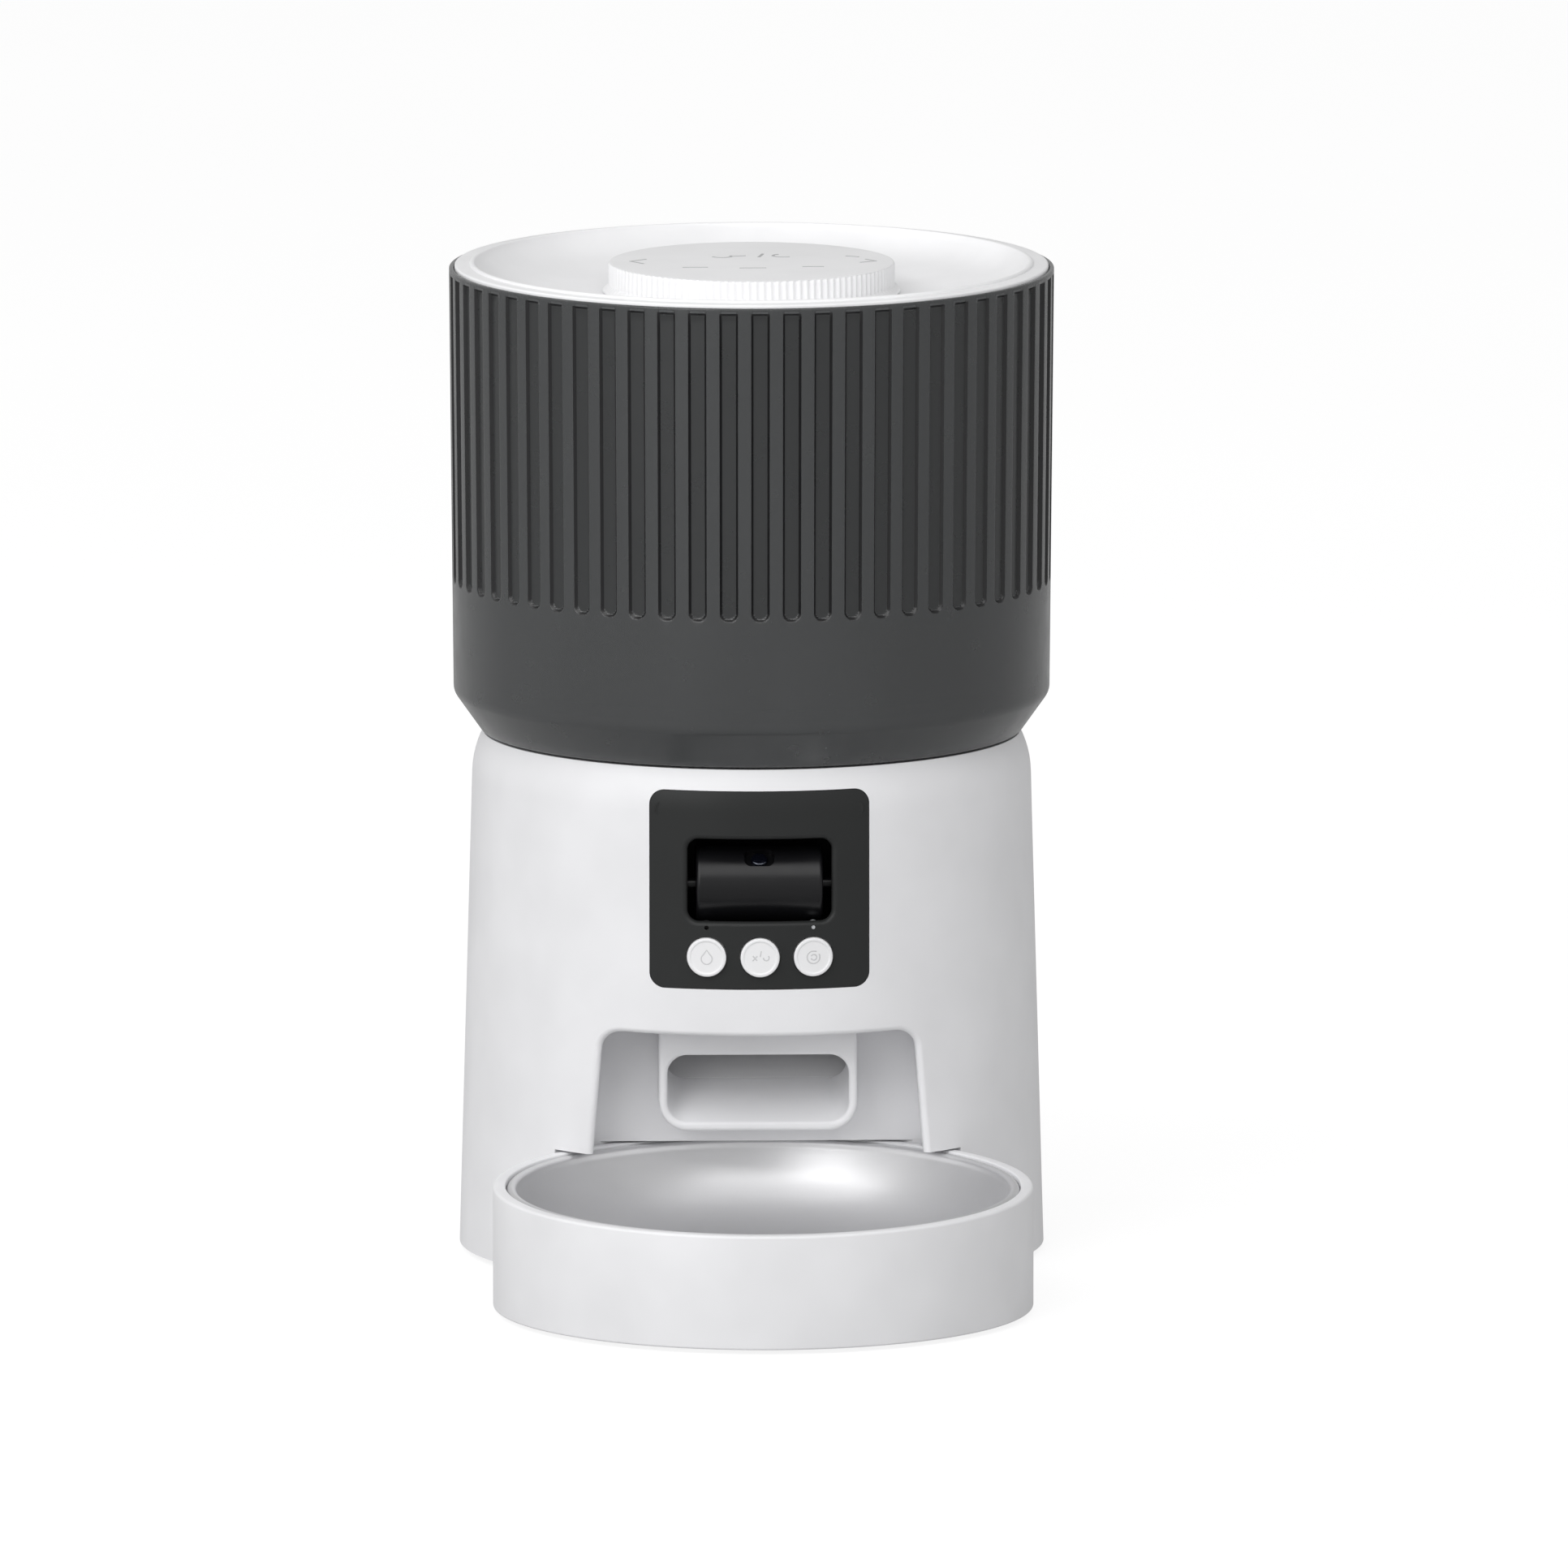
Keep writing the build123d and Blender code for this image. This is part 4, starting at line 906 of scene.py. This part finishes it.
@dataclass
class BowlAndTray:
    """The round white tray with its tilted rim, and the steel bowl that rests in it."""

    ring_radius: float = 84.3
    foot_z: float = 1.5
    rim_z: float = 39.5
    tilt: float = 1.5
    mouth_radius: float = 80.4
    ledge_radius: float = 78.4
    ledge_drop: float = 3.2
    wall: float = 2.2
    floor_z: float = 3.9
    lean_from_z: float = 8.0
    tongue_width: float = 44.0
    tongue_thickness: float = 5.0
    tongue_z: float = 8.5
    bowl_drop: float = 31.0
    bowl_inside: tuple[Point, ...] = (
        (0.0, -31.0), (15.0, -30.95), (30.0, -30.6), (44.0, -29.4), (54.0, -27.3),
        (62.0, -24.0), (68.0, -19.6), (72.4, -14.0), (75.2, -8.0), (77.1, -2.4))
    lip_centre: Point = (78.5, -1.9)
    lip_radius: float = 1.55

    def build(self) -> None:
        """Build the tray and the bowl."""
        self.tray()
        self.bowl()
        dress(Finish.RUBBER, "tray_feet")

    def tilted(self, shape: bmesh.types.BMesh, from_z: float) -> None:
        """Lean everything above a height with the rim's plane."""
        for vertex in shape.verts:
            share = max(0.0, (vertex.co.z / MM - from_z) / (self.rim_z - from_z))
            vertex.co.z += (vertex.co.y - BOWL.y) * tan(radians(self.tilt)) * min(1.0, share)

    def tray(self) -> None:
        """Build the tray's wall, ledge and floor, with the tongue that guides it."""
        r, rim = self.ring_radius, self.rim_z
        outline = rounded([
            (0.0, self.foot_z, 0), (r, self.foot_z, 0.7), (r, rim, 1.0),
            (self.mouth_radius, rim, 0.5), (self.mouth_radius, rim - self.ledge_drop, 0),
            (self.ledge_radius, rim - self.ledge_drop, 0.3), (self.ledge_radius, rim - 6.5, 0.3),
            (r - self.wall, rim - 9.5, 0), (r - self.wall, self.floor_z, 1.0),
            (0.0, self.floor_z, 0),
        ], arc_points=6, closed=False)
        tray = spun(outline, BOWL, 288, closed=False)
        self.tilted(tray, self.lean_from_z)
        front, back = BOWL.y + (r - 1.2) * MM, TRAY_HIGH.y
        centre = Vector((0.0, (back + front) / 2, self.tongue_z * MM))
        size = (self.tongue_width * MM, back - front, self.tongue_thickness * MM)
        soft_block(tray, centre, size, 0.5, 3)
        settle(tray, "tray_ring", Finish.BODY, "tray", ("bowl_tray",), 45)

    def bowl(self) -> None:
        """Build the thin steel bowl with its rolled lip."""
        smooth = self.curve_through(self.bowl_inside, 4)
        lip = arc(self.lip_centre, self.lip_radius, 170, 5, 8)
        under = [(80.1, -2.9), (77.95, -2.9)]
        outside = [(r + 0.75, z - 0.45) for r, z in reversed(smooth[2:-2])]
        points = [(r, self.rim_z + z) for r, z in smooth + lip + under + outside]
        points.append((0.0, self.rim_z - self.bowl_drop - 0.8))
        bowl = spun(points, BOWL, 256, closed=False)
        lean = Matrix.Rotation(radians(self.tilt), 4, "X")
        pivot = Matrix.Translation(Vector((BOWL.x, BOWL.y, self.rim_z * MM)))
        bmesh.ops.transform(bowl, matrix=pivot @ lean @ pivot.inverted(), verts=bowl.verts)
        settle(bowl, "bowl_dish", Finish.STEEL, "bowl", ("steel_bowl",), 60)

    @staticmethod
    def curve_through(points: Sequence[Point], pieces: int) -> list[Point]:
        """Pass a smooth curve through points.

        Args:
            points: the points to pass through.
            pieces: how many parts each span is cut into.

        Returns:
            The curve's points.
        """
        curve: list[Point] = []
        padded = [points[0], *points, points[-1]]
        for a, b, c, d in zip(padded, padded[1:], padded[2:], padded[3:]):
            for step in range(pieces):
                t = step / pieces
                curve.append(tuple(
                    0.5 * (2 * q + (r - p) * t + (2 * p - 5 * q + 4 * r - s) * t * t
                           + (3 * q - p - 3 * r + s) * t ** 3)
                    for p, q, r, s in zip(a, b, c, d)))
        return curve + [points[-1]]


# ------------------------------------------------------------------ studio

@dataclass(frozen=True)
class Softbox:
    """A rectangular lamp that faces the feeder.

    Its place is measured from the tower's foot. Lengths are in metres and the power in watts.
    """

    name: str
    place: Triple
    size: tuple[float, float]
    power: float

    def hang(self) -> None:
        """Add the lamp to the scene."""
        light = bpy.data.lights.new(self.name, "AREA")
        light.shape = "RECTANGLE"
        light.size, light.size_y = self.size
        light.energy = self.power
        lamp = bpy.data.objects.new(self.name, light)
        lamp.location = Vector((TOWER.x, TOWER.y, 0.0)) + Vector(self.place)
        aim = Vector((0.0, 0.0, 0.15)) - lamp.location
        lamp.rotation_euler = aim.to_track_quat("-Z", "Y").to_euler()
        bpy.context.scene.collection.objects.link(lamp)


@dataclass
class Studio:
    """A plain pale floor, soft lights and the camera."""

    sky_low: float = 0.42
    sky_high: float = 0.96
    bright_way: Triple = (-0.45, -0.3, -0.8)
    floor_tone: Colour = (0.25, 0.25, 0.25)
    floor_glow: float = 0.30
    floor_seen: float = 0.80
    camera_distance: float = 11.84
    camera_height: float = 1.97
    camera_yaw: float = 1.75        # degrees that the camera stands to the left of straight ahead
    aim_right: float = 0.0102       # the view's centre lies this far right of the tower's axis
    aim_height: float = 0.147
    lens: float = 864.0
    lamps: tuple[Softbox, ...] = (
        Softbox("key", (-1.35, -2.3, 1.15), (1.3, 1.3), 13.0),
        Softbox("canopy", (-0.4, -1.5, 1.9), (3.6, 1.4), 32.0),
        Softbox("glint", (-1.7, 0.05, 1.6), (0.35, 0.35), 2.5),
    )

    def build(self) -> None:
        """Set up the floor, the sky, the lights and the camera."""
        self.floor()
        self.world()
        for lamp in self.lamps:
            lamp.hang()
        self.camera()

    def floor(self) -> None:
        """Lay the pale floor."""
        shape = bmesh.new()
        bmesh.ops.create_grid(shape, x_segments=4, y_segments=4, size=14.0)
        mesh = bpy.data.meshes.new("studio_floor")
        shape.to_mesh(mesh)
        shape.free()
        shader = Shader("pale_floor")
        shader.feed("Base Color", shader.mix(shader.noise(300.0, 2.0), scaled(self.floor_tone, 0.97),
                                             scaled(self.floor_tone, 1.03)))
        shader.set(Roughness=0.9, Emission_Color=(1, 1, 1, 1))
        shader.feed("Emission Strength", self.seen(shader.tree, self.floor_glow, self.floor_seen))
        mesh.materials.append(shader.material)
        floor = bpy.data.objects.new("studio_floor", mesh)
        bpy.context.scene.collection.objects.link(floor)

    def seen(self, tree: bpy.types.NodeTree, other: Socket | float, camera: float) -> Socket:
        """Give one strength to what the camera sees directly and another to all other light.

        Args:
            tree: the node tree to add to.
            other: the strength for all other rays, as a number or a socket.
            camera: the strength for the camera's own rays.

        Returns:
            The strength's socket.
        """
        ray = tree.nodes.new("ShaderNodeLightPath")
        share = tree.nodes.new("ShaderNodeMix")
        share.inputs["B"].default_value = camera
        tree.links.new(ray.outputs["Is Camera Ray"], share.inputs["Factor"])
        if isinstance(other, float):
            share.inputs["A"].default_value = other
        else:
            tree.links.new(other, share.inputs["A"])
        return share.outputs["Result"]

    def world(self) -> None:
        """Light the scene from all round, more from above and from the left."""
        world = bpy.data.worlds.new("soft_sky")
        world.use_nodes = True
        tree = world.node_tree
        sky = tree.nodes["Background"]
        sky.inputs["Color"].default_value = (1.0, 1.0, 1.0, 1.0)
        way = tree.nodes.new("ShaderNodeTexCoord")
        lean = tree.nodes.new("ShaderNodeVectorMath")
        lean.operation = "DOT_PRODUCT"
        lean.inputs[1].default_value = self.bright_way
        tree.links.new(way.outputs["Generated"], lean.inputs[0])
        power = tree.nodes.new("ShaderNodeMapRange")
        power.inputs["From Min"].default_value = -1.0
        power.inputs["To Min"].default_value = self.sky_low
        power.inputs["To Max"].default_value = self.sky_high
        tree.links.new(lean.outputs["Value"], power.inputs["Value"])
        tree.links.new(self.seen(tree, power.outputs["Result"], 1.0), sky.inputs["Strength"])
        bpy.context.scene.world = world
        bpy.context.scene.view_settings.view_transform = "Standard"

    def camera(self) -> None:
        """Stand the camera far off, a little above and a little to the left."""
        yaw = radians(self.camera_yaw)
        right = Vector((cos(yaw), -sin(yaw), 0.0))
        aim = Vector((TOWER.x, TOWER.y, self.aim_height)) + right * self.aim_right
        flat = sqrt(self.camera_distance ** 2 - (self.camera_height - self.aim_height) ** 2)
        place = aim + Vector((-sin(yaw) * flat, -cos(yaw) * flat, 0.0))
        place.z = self.camera_height
        data = bpy.data.cameras.new("camera")
        data.lens = self.lens
        data.sensor_width = 36.0
        data.clip_end = 60.0
        camera = bpy.data.objects.new("camera", data)
        camera.location = place
        camera.rotation_euler = (aim - place).to_track_quat("-Z", "Y").to_euler()
        bpy.context.scene.collection.objects.link(camera)
        bpy.context.scene.camera = camera


def main() -> None:
    """Build the feeder's sub-assemblies in order, then the studio."""
    logging.basicConfig(level=logging.INFO, format="%(name)s: %(message)s")
    Studio().build()
    for part in (Tower(), PushButtons(), Hopper(), Lid(), BowlAndTray()):
        part.build()
        log.info("finished %s", type(part).__name__)


if __name__ == "__main__":
    main()
